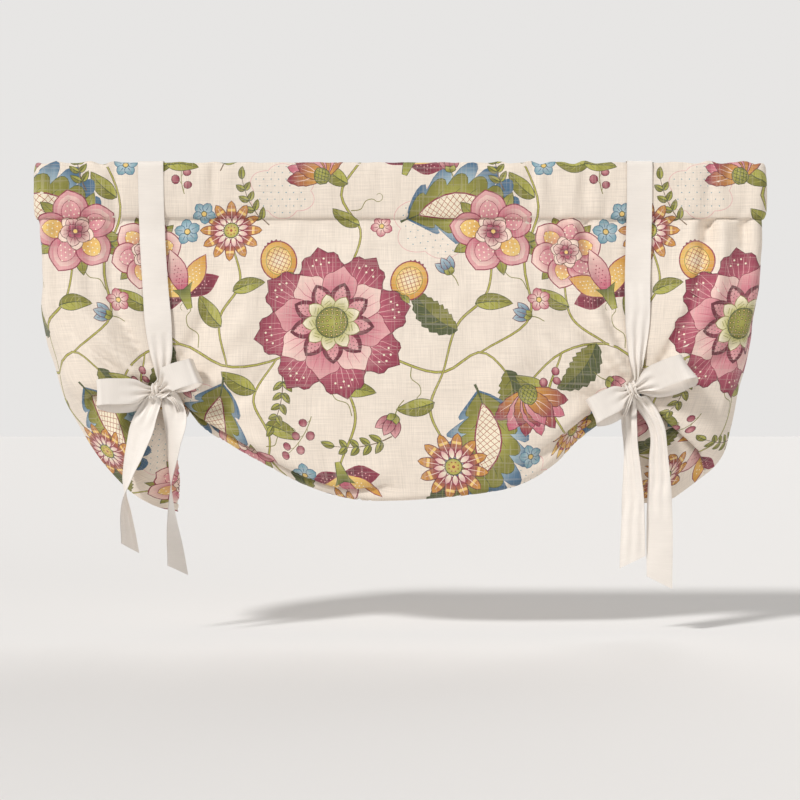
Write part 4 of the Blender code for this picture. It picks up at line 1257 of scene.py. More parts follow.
def motif(name, size):
    makers = {
        "great_bloom": lambda: great_bloom(size),
        "rose": lambda: rose(size),
        "pale_rose": lambda: rose(size, 6, SHELL, ROSE),
        "aster": lambda: aster(size),
        "gold_aster": lambda: aster(size, 11, OCHRE, GOLD, CRANBERRY),
        "lily": lambda: lily(size),
        "fan_flower": lambda: fan_flower(size),
        "fruit": lambda: fruit(size),
        "blossom": lambda: blossom(size),
        "pink_blossom": lambda: blossom(size, SHELL, ROSE, CRANBERRY),
        "bud": lambda: bud(size),
        "blue_bud": lambda: bud(size, BLUE, MIST),
        "leaf": lambda: leaf(size, 0.44 * size),
        "toothed": lambda: leaf(size, 0.46 * size, 0.9, OLIVE, MOSS, MOSS, 8, 5),
        "great_leaf": lambda: great_leaf(size, 0.62 * size),
        "sprig": lambda: sprig(size),
        "berries": lambda: berries(size),
        "tendril": lambda: tendril(size),
        "dotted_ground": lambda: dotted_ground(size),
    }
    return makers[name]()


def print_shapes(low, high):
    """Every shape of the print that reaches into a flat rectangle, lowest layer first."""
    shapes = []
    for name, size, x, y, turn in MOTIFS[:4]:
        shapes += moved(motif(name, size), (x, y), math.radians(turn))
    for route in VINES:
        shapes += vine(route)
    for name, size, x, y, turn in MOTIFS[4:]:
        shapes += moved(motif(name, size), (x, y), math.radians(turn))
    kept = []
    for outline, ink in showing(shapes):
        for i in range(-2, 3):
            for j in range(-1, 2):
                step = np.array([i * REPEAT_WIDTH, j * REPEAT_HEIGHT])
                copy = outline + step
                if (copy.max(axis=0) > low).all() and (copy.min(axis=0) < high).all():
                    kept.append((copy, ink.moved(step, 0.0)))
    return kept


class Cloth:
    """The cloth's surface, read at flat places: x across the cloth, y above the seam along it."""

    def __init__(self):
        self.places, self.normals, self.height = cloth_surface()
        self.columns, self.rows = self.height.shape
        self.x = (np.linspace(0, 1, self.columns) - 0.5) * CLOTH_WIDTH

    def flat(self, columns, rows):
        """The flat places of grid nodes."""
        x = np.repeat(self.x[columns], len(rows))
        return np.stack([x, self.height[np.ix_(columns, rows)].ravel()], axis=1)

    def at(self, flat):
        """Places and normals on the surface at flat places."""
        c = np.clip((flat[:, 0] / CLOTH_WIDTH + 0.5) * (self.columns - 1), 0, self.columns - 1.001)
        k = c.astype(int)
        f = (c - k)[:, None]
        down = -(self.height[k] * (1 - f) + self.height[k + 1] * f)
        r = np.array([np.interp(-y, row, ROW_NUMBERS) for y, row in zip(flat[:, 1], down)])
        r = np.clip(r, 0, self.rows - 1.001)
        n = r.astype(int)
        g = (r - n)[:, None]
        read = []
        for grid in (self.places, self.normals):
            upper = grid[k, n] * (1 - f) + grid[k + 1, n] * f
            lower = grid[k, n + 1] * (1 - f) + grid[k + 1, n + 1] * f
            read.append(upper * (1 - g) + lower * g)
        read[1] /= np.linalg.norm(read[1], axis=1)[:, None]
        return read


def every(count, skip):
    """Numbers 0, skip, 2 skip and so on, always with the last."""
    return np.unique(np.append(np.arange(0, count, skip), count - 1))


def bent_nodes(cloth, skips, allowed):
    """Flat places of grid nodes, coarse where the cloth is flat and finer where it bends more than allowed."""
    columns, rows = np.arange(cloth.columns), np.arange(cloth.rows)
    wanted = np.zeros((cloth.columns, cloth.rows), bool)
    bends = np.ones((cloth.columns, cloth.rows), bool)
    for skip in skips:
        few_columns, few_rows = every(cloth.columns, skip), every(cloth.rows, skip)
        lattice = np.zeros_like(wanted)
        lattice[np.ix_(few_columns, few_rows)] = True
        wanted |= lattice & bends
        i = np.clip(np.searchsorted(few_columns, columns, side="right") - 1, 0, len(few_columns) - 2)
        j = np.clip(np.searchsorted(few_rows, rows, side="right") - 1, 0, len(few_rows) - 2)
        left, upper = few_columns[i], few_rows[j]
        f = ((columns - left) / (few_columns[i + 1] - left))[:, None, None]
        g = ((rows - upper) / (few_rows[j + 1] - upper))[None, :, None]
        corner = [cloth.places[np.ix_(few_columns[i + a], few_rows[j + b])] for a in (0, 1) for b in (0, 1)]
        flat = (corner[0] * (1 - g) + corner[1] * g) * (1 - f) + (corner[2] * (1 - g) + corner[3] * g) * f
        most = np.zeros((len(few_columns) - 1, len(few_rows) - 1))
        np.maximum.at(most, (i[:, None], j[None, :]), np.linalg.norm(cloth.places - flat, axis=2))
        bends = most[np.ix_(i, j)] > allowed
    wanted[[0, -1]] = wanted[:, [0, -1]] = False
    i, j = np.nonzero(wanted)
    return np.stack([cloth.x[i], cloth.height[i, j]], axis=1)


def rim_of(cloth, columns, rows):
    """The flat outline of the cloth through its border nodes, anticlockwise."""
    last = cloth.rows - 1
    bottom = cloth.flat(columns, [last])
    right = cloth.flat([cloth.columns - 1], rows[::-1])
    top = cloth.flat(columns[::-1], [0])
    left = cloth.flat([0], rows)
    return np.concatenate([bottom[:-1], right[:-1], top[:-1], left[:-1]])


def cut_faces(nodes, rim, shapes):
    """Flat triangles over the cloth, cut along every shape: places, triangles and each triangle's topmost shape."""
    places = [Vector(p) for p in nodes]
    faces = []
    for outline in [rim] + [outline for outline, _ in shapes]:
        x, y = outline.T
        if np.sum(x * np.roll(y, -1) - y * np.roll(x, -1)) < 0:
            outline = outline[::-1]
        faces.append(list(range(len(places), len(places) + len(outline))))
        places += [Vector(p) for p in outline]
    found = geometry.delaunay_2d_cdt(places, [], faces, 0, 1e-7, True)
    triangles, tops = [], []
    for corners, owners in zip(found[2], found[5]):
        if 0 in owners:
            tops.append(max(owners))
            triangles.append(corners)
    return np.array([tuple(v) for v in found[0]]), np.array(triangles), np.array(tops)


def field_edges(triangles, tops):
    """The edges between two fields and round the cloth, which are the print's visible outlines."""
    edges = np.concatenate([triangles[:, [0, 1]], triangles[:, [1, 2]], triangles[:, [2, 0]]])
    edges, fields = np.sort(edges, axis=1), np.tile(tops, 3)
    order = np.lexsort((edges[:, 1], edges[:, 0]))
    edges, fields = edges[order], fields[order]
    hidden = np.all(edges[1:] == edges[:-1], axis=1) & (fields[1:] == fields[:-1])
    hidden = np.append(hidden, False) | np.append(False, hidden)
    return np.unique(edges[~hidden], axis=0)


def clear_of(nodes, starts, ends, gap):
    """The nodes that lie further than a gap from every visible outline."""
    steps = np.maximum(1, np.ceil(np.linalg.norm(ends - starts, axis=1) / gap).astype(int))
    samples = [a + (b - a) * (np.arange(n) / n)[:, None] for a, b, n in zip(starts, ends, steps)]
    samples = np.concatenate(samples)
    tree = kdtree.KDTree(len(samples))
    for number, (x, y) in enumerate(samples):
        tree.insert((x, y, 0), number)
    tree.balance()
    far = np.array([tree.find((x, y, 0))[2] > gap for x, y in nodes])
    return nodes[far]


def filled(nodes, places, edges, triangles, tops):
    """Flat triangles between the visible outlines and through the nodes, with the field that each lies in."""
    used, numbers = np.unique(edges, return_inverse=True)
    corners = [Vector(p) for p in np.concatenate([places[used], nodes])]
    found = geometry.delaunay_2d_cdt(corners, numbers.reshape(edges.shape).tolist(), [], 0, 1e-7, False)
    flat, parts = np.array([tuple(v) for v in found[0]]), np.array(found[2])
    fields = BVHTree.FromPolygons([(x, y, 0) for x, y in places], triangles.tolist())
    middles = flat[parts].mean(axis=1)
    hits = [fields.ray_cast((x, y, 1), (0, 0, -1))[2] for x, y in middles]
    inside = [hit is not None for hit in hits]
    return flat, parts[inside], np.array([tops[hit] for hit in hits if hit is not None])


def border_edges(triangles):
    """The open edges of a set of triangles, each in its triangle's direction."""
    edges = np.concatenate([triangles[:, [0, 1]], triangles[:, [1, 2]], triangles[:, [2, 0]]])
    key = np.sort(edges, axis=1)
    _, first, counts = np.unique(key, axis=0, return_index=True, return_counts=True)
    return edges[first[counts == 1]]


def printed_cloth(cloth, material, reverse):
    """The valance as one closed sheet, its front cut along the print and each field dyed in its own ink."""
    columns, rows = every(cloth.columns, COLUMN_SKIP), every(cloth.rows, ROW_SKIP)
    rim = rim_of(cloth, columns, rows)
    low, high = rim.min(axis=0), rim.max(axis=0)
    shapes = print_shapes(low, high)
    inner = bent_nodes(cloth, FRONT_SKIPS, FRONT_BEND)
    places, fields, owners = cut_faces([], rim, shapes)
    edges = field_edges(fields, owners)
    nodes = clear_of(inner, places[edges[:, 0]], places[edges[:, 1]], OUTLINE_GAP)
    flat, triangles, tops = filled(nodes, places, edges, fields, owners)
    border = border_edges(triangles)

    ordered = flat[walk(border)]
    back_flat, back_triangles, _ = cut_faces(bent_nodes(cloth, BACK_SKIPS, BACK_BEND), ordered, [])
    back_border = border_edges(back_triangles)

    places, normals = cloth.at(flat)
    back_places, back_normals = cloth.at(back_flat)
    count = len(flat)
    points = np.concatenate([places + normals * CLOTH / 2, back_places - back_normals * BACK_SET])
    faces = [tuple(t) for t in triangles] + [(a + count, c + count, b + count) for a, b, c in back_triangles]
    front_loop, back_loop = walk(border), walk(back_border) + count
    shift = np.argmin(np.linalg.norm(back_flat[back_loop - count] - flat[front_loop[0]], axis=1))
    back_loop = np.roll(back_loop, -shift)
    sides = list(zip(front_loop, np.roll(front_loop, -1), np.roll(back_loop, -1), back_loop))
    faces += [(b, a, d, c) for a, b, c, d in sides]

    mesh = bpy.data.meshes.new("printed_valance")
    mesh.from_pydata(points.tolist(), [], faces)
    mesh.materials.append(material)
    mesh.materials.append(reverse)
    front_count = len(triangles)
    numbers = np.zeros(len(faces), int)
    numbers[front_count:] = 1
    mesh.polygons.foreach_set("material_index", numbers)

    every_flat = np.concatenate([flat, back_flat])
    loops = np.empty(len(mesh.loops), int)
    mesh.loops.foreach_get("vertex_index", loops)
    mesh.uv_layers.new(name="flat").data.foreach_set("uv", every_flat[loops].astype(np.float32).ravel())

    inks = [Ink(LINEN)] + [ink for _, ink in shapes]
    inner_colours, outer_colours = np.array([i.inner for i in inks]), np.array([i.outer for i in inks])
    centres = np.array([i.centre for i in inks])
    starts, ends = np.array([i.start for i in inks]), np.array([i.end for i in inks])
    corner_tops = np.zeros(len(loops), int)
    corner_tops[: 3 * front_count] = np.repeat(tops, 3)
    reach = np.linalg.norm(every_flat[loops] - centres[corner_tops], axis=1)
    mix = np.clip((reach - starts[corner_tops]) / (ends[corner_tops] - starts[corner_tops]), 0, 1)[:, None]
    colours = np.ones((len(loops), 4), np.float32)
    colours[:, :3] = inner_colours[corner_tops] * (1 - mix) + outer_colours[corner_tops] * mix
    dyes = mesh.color_attributes.new("print", "FLOAT_COLOR", "CORNER")
    dyes.data.foreach_set("color", colours.ravel())
    inked = mesh.attributes.new("inked", "FLOAT", "FACE")
    inked.data.foreach_set("value", np.concatenate([tops > 0, np.zeros(len(faces) - front_count)]).astype(np.float32))

    mesh.validate()
    mesh.shade_smooth()
    mesh.normals_split_custom_set_from_vertices(np.concatenate([normals, -back_normals]).tolist())
    thing = bpy.data.objects.new("printed_valance", mesh)
    bpy.context.scene.collection.objects.link(thing)
    return thing


def walk(edges):
    """The points of one closed loop of directed edges, in order."""
    following = {a: b for a, b in edges.tolist()}
    start = edges[0][0]
    loop = [start]
    while following[loop[-1]] != start:
        loop.append(following[loop[-1]])
    return np.array(loop)


class Shading:
    """A cloth's node material, built up from threads, sums and ranges over its flat places."""

    def __init__(self, name, roughness, sheen, gloss):
        self.material = bpy.data.materials.new(name)
        self.material.use_nodes = True
        self.nodes, self.links = self.material.node_tree.nodes, self.material.node_tree.links
        self.shader = self.nodes["Principled BSDF"]
        self.shader.inputs["Roughness"].default_value = roughness
        self.shader.inputs["Sheen Weight"].default_value = sheen
        self.shader.inputs["Specular IOR Level"].default_value = gloss
        self.where = self.nodes.new("ShaderNodeUVMap")
        self.where.uv_map = "flat"

    def give(self, socket, value):
        """Sets a socket to a constant, or links it to the output that is its value."""
        if isinstance(value, bpy.types.NodeSocket):
            self.links.new(value, socket)
        else:
            socket.default_value = value

    def threads(self, across, along, detail):
        """Noise with so many threads in a metre across and along."""
        scale = self.nodes.new("ShaderNodeMapping")
        scale.inputs["Scale"].default_value = (across, along, 1)
        self.links.new(self.where.outputs[0], scale.inputs[0])
        noise = self.nodes.new("ShaderNodeTexNoise")
        noise.noise_dimensions = "2D"
        noise.inputs["Scale"].default_value = 1.0
        noise.inputs["Detail"].default_value = detail
        self.links.new(scale.outputs[0], noise.inputs["Vector"])
        return noise.outputs["Fac"]

    def maths(self, kind, a, b=0.0):
        """A sum, product or other operation on two values."""
        node = self.nodes.new("ShaderNodeMath")
        node.operation = kind
        self.give(node.inputs[0], a)
        self.give(node.inputs[1], b)
        return node.outputs[0]

    def ranged(self, value, read, written):
        """A value carried from one range to another."""
        node = self.nodes.new("ShaderNodeMapRange")
        self.links.new(value, node.inputs["Value"])
        for name, number in zip(("From Min", "From Max", "To Min", "To Max"), (*read, *written)):
            node.inputs[name].default_value = number
        return node.outputs[0]

    def mixed(self, kind, factor, a, b):
        """Two colours blended."""
        node = self.nodes.new("ShaderNodeMix")
        node.data_type = "RGBA"
        node.blend_type = kind
        for name, value in (("Factor", factor), ("A", a), ("B", b)):
            self.give(node.inputs[name], value)
        return node.outputs["Result"]

    def finished(self, colour, height, distance, strength):
        """The material, with its colour and its fine relief given to the shader."""
        bump = self.nodes.new("ShaderNodeBump")
        bump.inputs["Distance"].default_value = distance
        bump.inputs["Strength"].default_value = strength
        self.links.new(height, bump.inputs["Height"])
        self.links.new(bump.outputs[0], self.shader.inputs["Normal"])
        self.links.new(colour, self.shader.inputs["Base Color"])
        return self.material


def linen(name, faded=0.0):
    """Printed slub linen: threads both ways, thick slubs, ink that sits on the threads."""
    cloth = Shading(name, 0.88, 0.15, 0.25)
    dyes = cloth.nodes.new("ShaderNodeVertexColor")
    dyes.layer_name = "print"
    weave = cloth.maths("ADD", cloth.threads(22, 950, 1.5), cloth.threads(950, 26, 1.5))
    slub = cloth.maths("MAXIMUM", cloth.threads(10, 420, 2.0), cloth.threads(420, 12, 2.0))
    shade = cloth.ranged(weave, (0.7, 1.3), (0.90, 1.06))
    streak = cloth.ranged(slub, (0.56, 0.78), (1.0, 0.93))
    worn = cloth.ranged(cloth.threads(9, 9, 3.0), (0.0, 1.0), (0.96, 1.04))
    light = cloth.maths("MULTIPLY", cloth.maths("MULTIPLY", shade, streak), worn)
    thin = cloth.ranged(slub, (0.55, 0.70), (0.05 + faded, 0.24 + faded))
    ground = cloth.mixed("MIX", thin, dyes.outputs["Color"], (*LINEN, 1))
    rise = cloth.maths("ADD", weave, cloth.maths("MULTIPLY", slub, 1.5))
    return cloth.finished(cloth.mixed("MULTIPLY", 1.0, ground, light), rise, 0.0004, 0.55)


def seen_from(cloth, start, direction, places):
    """The cloth's nearest surface along a direction, from several places at once."""
    hits = [cloth.ray_cast(Vector(start(x, z)), Vector(direction))[0] for x, z in places]
    return [hit for hit in hits if hit]


def window(x, z, width, height=0.012):
    return [(x + width * i / 4, z + height * j / 2) for i in range(-2, 3) for j in (-1, 0, 1)]


def in_front(cloth, x, z, width, otherwise, height=0.006):
    """How far forward the cloth reaches behind a patch of ribbon at (x, z)."""
    hits = seen_from(cloth, lambda x, z: (x, -1, z), (0, 1, 0), window(x, z, width, height))
    return min((hit.y for hit in hits), default=otherwise)


def at_back(cloth, x, z, width, otherwise):
    hits = seen_from(cloth, lambda x, z: (x, 1, z), (0, -1, 0), window(x, z, width))
    return max((hit.y for hit in hits), default=otherwise)


def eased(values, keep, reach=3):
    """Each value replaced by the furthest of its neighbours, then softened."""
    count = len(values)
    kept = [keep(values[max(0, k - reach) : min(count, k + reach + 1)]) for k in range(count)]
    return softened(np.array(kept), reach)


def stations(rows, length_step=RIBBON_STEP):
    """Evenly spaced rows along a few rows of (x, y, z, and whatever else changes along the ribbon)."""
    rows = np.array(rows, float)
    length = np.linalg.norm(np.diff(rows[:, :3], axis=0), axis=1).sum()
    return curve_through(rows, np.linspace(0, 1, max(8, int(length / length_step))))


def with_across(rows, across):
    """Rows of (x, y, z, width) joined with the direction of the ribbon's width at each."""
    across = np.broadcast_to(np.array(across, float), (len(rows), 3))
    return np.concatenate([rows, across], axis=1)


def band_rows(tie, cloth, knot, tie_x, foot):
    """The long run from the knot up the front, over the top, down the back and under the hem to the knot."""
    aside, share, width = curve_through(tie["strap"], np.linspace(1, 0, STRAP_STATIONS), 2).T
    x = tie_x + share * (knot[0] - tie_x) + aside * RIBBON_WIDTH
    z = TOP_Z + share * (knot[2] - TOP_Z)
    widths = RIBBON_WIDTH * width
    clear = SEAT_GAP / 2 + RIBBON / 2
    front = eased([in_front(cloth, *spot, 0) - clear for spot in zip(x, z, widths)], min)
    x_top, y_front = x[-1], front[-1]
    tops = seen_from(cloth, lambda x, y: (x, y, 1), (0, 0, -1), window(x_top, 0.0, RIBBON_WIDTH, 0.01))
    z_top = max(hit.z for hit in tops) + clear
    y_back = at_back(cloth, x_top, 0.0, RIBBON_WIDTH, 0) + clear
    start_z = knot[2] + KNOT_HEIGHT / 4
    rows = [(knot[0], knot[1] + KNOT_DEPTH / 4, start_z, PINCH_WIDTH)]
    rows += [row for row in zip(x, front, z, widths) if row[2] > start_z + KNOT_HEIGHT / 4]
    rows.append((x_top, y_front, z_top - TOP_BEND, RIBBON_WIDTH))
    rows.append((x_top, 0.75 * y_front, z_top - 0.1 * TOP_BEND, RIBBON_WIDTH))
    rows.append((x_top, (y_front + y_back) / 2, z_top, RIBBON_WIDTH))
    rows.append((x_top, 0.75 * y_back, z_top - 0.1 * TOP_BEND, RIBBON_WIDTH))
    start, end = np.array([x_top, y_back, z_top - TOP_BEND]), foot + tie["under"][0]
    for drop in np.linspace(0, 1, BACK_STATIONS):
        x, y, z = start + (end - start) * drop
        aside = max(0.0, (drop - BACK_STRAIGHT) / (1 - BACK_STRAIGHT))
        x = x_top + (end[0] - x_top) * aside**1.5
        width = RIBBON_WIDTH + (UNDER_WIDTH - RIBBON_WIDTH) * aside
        rows.append((x, max(y, at_back(cloth, x, z, width, -1) + clear), z, width))
    rows += [(*(foot + place), UNDER_WIDTH) for place in tie["under"][1:]]
    rows.append((knot[0] + KNOT_WIDTH / 9, knot[1] + KNOT_DEPTH / 5, knot[2] - KNOT_HEIGHT / 7, UNDER_WIDTH))
    return with_across(stations(rows), (1, 0, 0))


def loop_rows(tie, cloth, knot, number):
    """One bow loop: out of the knot in front, round its end and back behind, its mouth open below."""
    length, way, lean, route = tie["loops"][number]
    way, lean = math.radians(way), math.radians(lean)
    width_way = np.array([math.sin(lean), 0, -math.cos(lean)])
    out, forward, drop, width = curve_through(route, np.linspace(0, 1, LOOP_STATIONS), 2).T
    places = np.array(knot) + length * np.array([math.cos(way), 0, math.sin(way)]) * out[:, None]
    places += width_way * drop[:, None]
    places[:, 1] -= forward
    clear = SEAT_GAP + RIBBON
    room = [in_front(cloth, x, z, RIBBON_WIDTH, y + 1, RIBBON_WIDTH) - clear - y for x, y, z in places]
    free = out > 0.3
    places[:, 1] += min(0.0, (np.array(room)[free] / out[free]).min()) * np.clip(out, 0, 1)
    rows = stations(np.concatenate([places, RIBBON_WIDTH * width[:, None]], axis=1))
    return with_across(rows, width_way)


def tail_rows(tie, cloth, knot, number):
    """One hanging end, turned on itself as it falls."""
    spots = np.array(tie["tails"][number])
    spots[:, 0] = knot[0] + TAIL_LENGTH * spots[:, 0]
    spots[:, 1] = knot[2] - TAIL_LENGTH * spots[:, 1]
    room = []
    for x, z, share, turn in curve_through(spots, np.linspace(0, 1, TAIL_STATIONS), 2):
        half = RIBBON_WIDTH * share / 2
        reach = in_front(cloth, x, z, 2 * half * abs(math.cos(math.radians(turn))), 0)
        room.append(reach - SEAT_GAP - half * abs(math.sin(math.radians(turn))))
    y = min(*room, knot[1])
    side = 2 * number - 1
    start = (knot[0] + side * KNOT_WIDTH / 7, knot[1] + side * KNOT_DEPTH / 8, knot[2] - KNOT_HEIGHT / 9)
    out = (knot[0] + side * KNOT_WIDTH / 5, min(y, knot[1]) - KNOT_DEPTH / 3, knot[2] - KNOT_HEIGHT / 2.4)
    rows = [(*start, 0.8 * PINCH_WIDTH, 0.1 * side), (*out, 0.9 * PINCH_WIDTH, 0.1 * side)]
    rows += [(x, y, z, RIBBON_WIDTH * share, math.radians(turn)) for x, z, share, turn in spots]
    rows = stations(rows)
    across = np.stack([np.cos(rows[:, 4]), -np.sin(rows[:, 4]), 0 * rows[:, 4]], axis=1)
    return with_across(rows[:, :4], across)


def wrap_rows(tie, knot):
    """The turn of ribbon round the knot's middle, which holds the loops."""
    (_, left_way, *_), (_, right_way, *_) = tie["loops"]
    ways = np.radians([left_way + 180, right_way])
    lean = np.arctan2(np.sin(ways).sum(), np.cos(ways).sum())
    axis = np.array([math.cos(lean), 0, math.sin(lean)])
    upward = np.array([-math.sin(lean), 0, math.cos(lean)])
    angle = np.linspace(-0.3, 1.72, 40) * math.pi
    swell = 1 + 0.06 * np.sin(2.3 * angle)
    places = np.array(knot) - (swell * np.sin(angle))[:, None] * (0, WRAP_DEPTH / 2, 0)
    places += (swell * np.cos(angle) * WRAP_HEIGHT / 2)[:, None] * upward
    places += (0.0015 * np.cos(1.4 * angle))[:, None] * axis
    widths = WRAP_WIDTH * (1 + 0.10 * np.sin(1.7 * angle + 0.6))
    rows = stations(np.concatenate([places, widths[:, None]], axis=1), RIBBON_STEP / 3)
    return with_across(rows, axis)


def ribbon_bow(tie, tie_x, foot, cloth, material):
    """One whole ribbon: end, loop, turn round the knot, strap, back, under the hem, loop and end."""
    x, z = knot_place(tie, tie_x)
    knot = (x, in_front(cloth, x, z, KNOT_WIDTH, 0, KNOT_HEIGHT) - SEAT_GAP - KNOT_DEPTH / 2, z)
    parts = [
        tail_rows(tie, cloth, knot, 0)[::-1],
        loop_rows(tie, cloth, knot, 0),
        wrap_rows(tie, knot),
        band_rows(tie, cloth, knot, tie_x, foot),
        loop_rows(tie, cloth, knot, 1),
        tail_rows(tie, cloth, knot, 1),
    ]
    rows = parts[0]
    for part in parts[1:]:
        if rows[-1, 4:] @ part[0, 4:] < 0:
            part = part * ([1] * 4 + [-1] * 3)
        rows = np.concatenate([rows, part])
    keep = np.append(True, np.linalg.norm(np.diff(rows[:, :3], axis=0), axis=1) > 1e-5)
    rows = rows[keep]
    return ribbon_mesh(tie["name"].replace("tie", "bow"), rows, material)


def ribbon_mesh(name, rows, material):
    """A closed strip of ribbon whose spare width is taken up in small pleats where it is pinched."""
    places, widths, across = rows[:, :3], rows[:, 3], rows[:, 4:]
    ahead = np.gradient(places, axis=0)
    ahead /= np.linalg.norm(ahead, axis=1)[:, None]
    across = across - ahead * (across * ahead).sum(axis=1)[:, None]
    across = np.stack([softened(part, 2) for part in across.T], axis=1)
    across /= np.linalg.norm(across, axis=1)[:, None]
    face = np.cross(ahead, across)
    passed = np.append(0, np.cumsum(np.linalg.norm(np.diff(places, axis=0), axis=1)))
    u = np.linspace(-0.5, 0.5, RIBBON_COLUMNS)
    spare = np.clip(RIBBON_WIDTH / widths - 1, 0, 4)
    depth = np.minimum(widths / (math.pi * PLEATS) * np.sqrt(spare), PLEAT_DEPTH)
    phase = 0.7 * np.sin(passed / 0.021) + 0.3 * np.sin(passed / 0.0083)
    pleat = depth[:, None] * np.cos(2 * math.pi * PLEATS * u + phase[:, None])
    cup = CUP * widths[:, None] * (1 / 12 - u**2) * np.sin(passed / 0.09)[:, None]
    ripple = RIPPLE * np.sin(passed / 0.013)[:, None] * np.sin(math.pi * u + 0.6) * (widths / RIBBON_WIDTH)[:, None]
    rise = pleat + cup + ripple
    slant = np.zeros(len(rows))
    slant[:END_ROWS] = np.linspace(1, 0, END_ROWS)
    slant[-END_ROWS:] = np.linspace(0, 1, END_ROWS)
    middle = places[:, None] + across[:, None] * (widths[:, None] * u)[..., None] + face[:, None] * rise[..., None]
    middle += ahead[:, None] * (slant[:, None] * END_SLANT * widths[:, None] * u)[..., None]
    normals = np.cross(np.gradient(middle, axis=0), np.gradient(middle, axis=1))
    normals /= np.maximum(np.linalg.norm(normals, axis=2), 1e-9)[..., None]
    n, m = middle.shape[:2]
    half = normals * RIBBON / 2
    points = np.concatenate([(middle + half).reshape(-1, 3), (middle - half).reshape(-1, 3)])
    grid = np.arange(n * m).reshape(n, m)
    front = np.stack([grid[:-1, :-1], grid[1:, :-1], grid[1:, 1:], grid[:-1, 1:]], axis=-1).reshape(-1, 4)
    back = front[:, ::-1] + n * m
    rim = np.concatenate([grid[:-1, 0], grid[-1, :-1], grid[:0:-1, -1], grid[0, :0:-1]])
    following = np.roll(rim, -1)
    sides = np.stack([following, rim, rim + n * m, following + n * m], axis=-1)
    faces = np.concatenate([front, back, sides])

    mesh = bpy.data.meshes.new(name)
    mesh.from_pydata(points.tolist(), [], faces.tolist())
    mesh.materials.append(material)
    loops = np.empty(len(mesh.loops), int)
    mesh.loops.foreach_get("vertex_index", loops)
    flat = np.stack([np.tile(u * RIBBON_WIDTH, (n, 1)), np.repeat(passed[:, None], m, axis=1)], axis=-1).reshape(-1, 2)
    flat = np.concatenate([flat, flat])
    mesh.uv_layers.new(name="flat").data.foreach_set("uv", flat[loops].astype(np.float32).ravel())
    mesh.shade_smooth()
    outward = normals.reshape(-1, 3)
    mesh.normals_split_custom_set_from_vertices(np.concatenate([outward, -outward]).tolist())
    thing = bpy.data.objects.new(name, mesh)
    bpy.context.scene.collection.objects.link(thing)
    return thing, passed[-1]


def satin():
    """Ivory satin ribbon: fine ribs across, firm selvedges and a soft gloss."""
    cloth = Shading("ivory_satin", 0.42, 0.2, 0.42)
    place = cloth.nodes.new("ShaderNodeSeparateXYZ")
    cloth.links.new(cloth.where.outputs[0], place.inputs[0])
    fine, soft = cloth.threads(14, 1300, 1.0), cloth.threads(30, 60, 2.0)
    aside = cloth.maths("ABSOLUTE", place.outputs["X"])
    edge = cloth.maths("GREATER_THAN", aside, RIBBON_WIDTH / 2 - SELVEDGE)
    ribs = cloth.maths("ADD", cloth.maths("MULTIPLY", fine, 0.6), cloth.maths("MULTIPLY", soft, 0.4))
    tone = cloth.ranged(ribs, (0.3, 0.7), (0.95, 1.03))
    light = cloth.maths("SUBTRACT", tone, cloth.maths("MULTIPLY", edge, 0.035))
    height = cloth.maths("SUBTRACT", fine, cloth.maths("MULTIPLY", edge, 0.8))
    return cloth.finished(cloth.mixed("MULTIPLY", 1.0, (*IVORY, 1), light), height, 0.00012, 0.5)


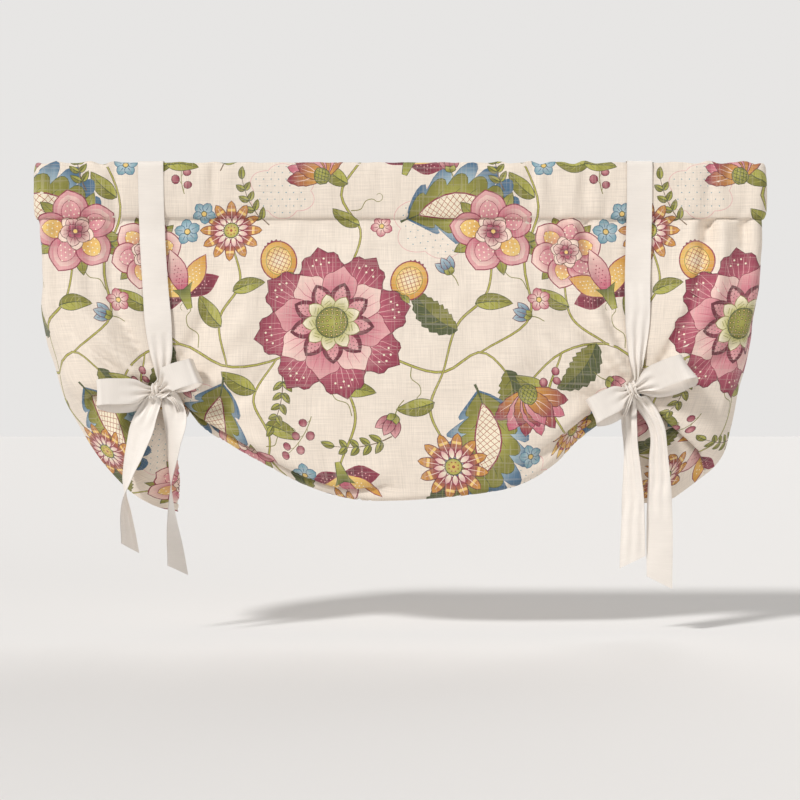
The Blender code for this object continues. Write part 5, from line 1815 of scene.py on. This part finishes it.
def studio():
    """The pale floor and world, soft lamps and the camera at the photograph's angle."""
    scene = bpy.context.scene
    scene.view_settings.view_transform = "Standard"
    bpy.ops.mesh.primitive_plane_add(size=30, location=(0, 0, FLOOR_Z))
    floor = bpy.context.object
    floor.name = "floor"
    material = bpy.data.materials.new("pale_floor")
    material.use_nodes = True
    shader = material.node_tree.nodes["Principled BSDF"]
    shader.inputs["Base Color"].default_value = (0.82, 0.80, 0.78, 1)
    shader.inputs["Roughness"].default_value = 0.9
    floor.data.materials.append(material)

    world = bpy.data.worlds.new("pale_room")
    world.use_nodes = True
    nodes, links = world.node_tree.nodes, world.node_tree.links
    background = nodes["Background"]
    rays = nodes.new("ShaderNodeLightPath")
    shown = nodes.new("ShaderNodeMath")
    shown.operation = "MAXIMUM"
    links.new(rays.outputs["Is Camera Ray"], shown.inputs[0])
    links.new(rays.outputs["Is Glossy Ray"], shown.inputs[1])
    strength = nodes.new("ShaderNodeMapRange")
    strength.inputs["To Min"].default_value = 0.32
    strength.inputs["To Max"].default_value = 0.80
    links.new(shown.outputs[0], strength.inputs["Value"])
    links.new(strength.outputs[0], background.inputs["Strength"])
    background.inputs["Color"].default_value = (1.0, 0.985, 0.97, 1)
    scene.world = world

    for name, toward, softness, power in (
        ("key", (-1.0, -1.0, 1.2), 9, 2.3),
        ("fill", (1.4, -1.6, 0.35), 40, 0.5),
        ("back", (0.5, 1.5, 0.9), 40, 0.9),
    ):
        lamp = bpy.data.lights.new(name, "SUN")
        lamp.angle = math.radians(softness)
        lamp.energy = power
        thing = bpy.data.objects.new(name, lamp)
        thing.location = toward
        thing.rotation_euler = (-Vector(toward)).to_track_quat("-Z", "Y").to_euler()
        scene.collection.objects.link(thing)

    view = bpy.data.cameras.new("front_view")
    view.sensor_width = SENSOR
    view.lens = SENSOR * VIEW_DISTANCE / (PICTURE * PIXEL)
    camera = bpy.data.objects.new("front_view", view)
    camera.location = (0, -VIEW_DISTANCE, VIEW_HEIGHT)
    camera.rotation_euler = (math.pi / 2, 0, 0)
    scene.collection.objects.link(camera)
    scene.camera = camera


studio()
CLOTH_SURFACE = Cloth()
valance = printed_cloth(CLOTH_SURFACE, linen("printed_linen"), linen("linen_reverse", 0.3))
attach(valance, "root")
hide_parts("valance_panel")

surface = BVHTree.FromPolygons([v.co for v in valance.data.vertices], [p.vertices for p in valance.data.polygons])
RIBBON_MATERIAL = satin()
for tie, tie_x, foot, _ in ties():
    bow, length = ribbon_bow(tie, tie_x, foot, surface, RIBBON_MATERIAL)
    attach(bow, "root")
    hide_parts(tie["name"])
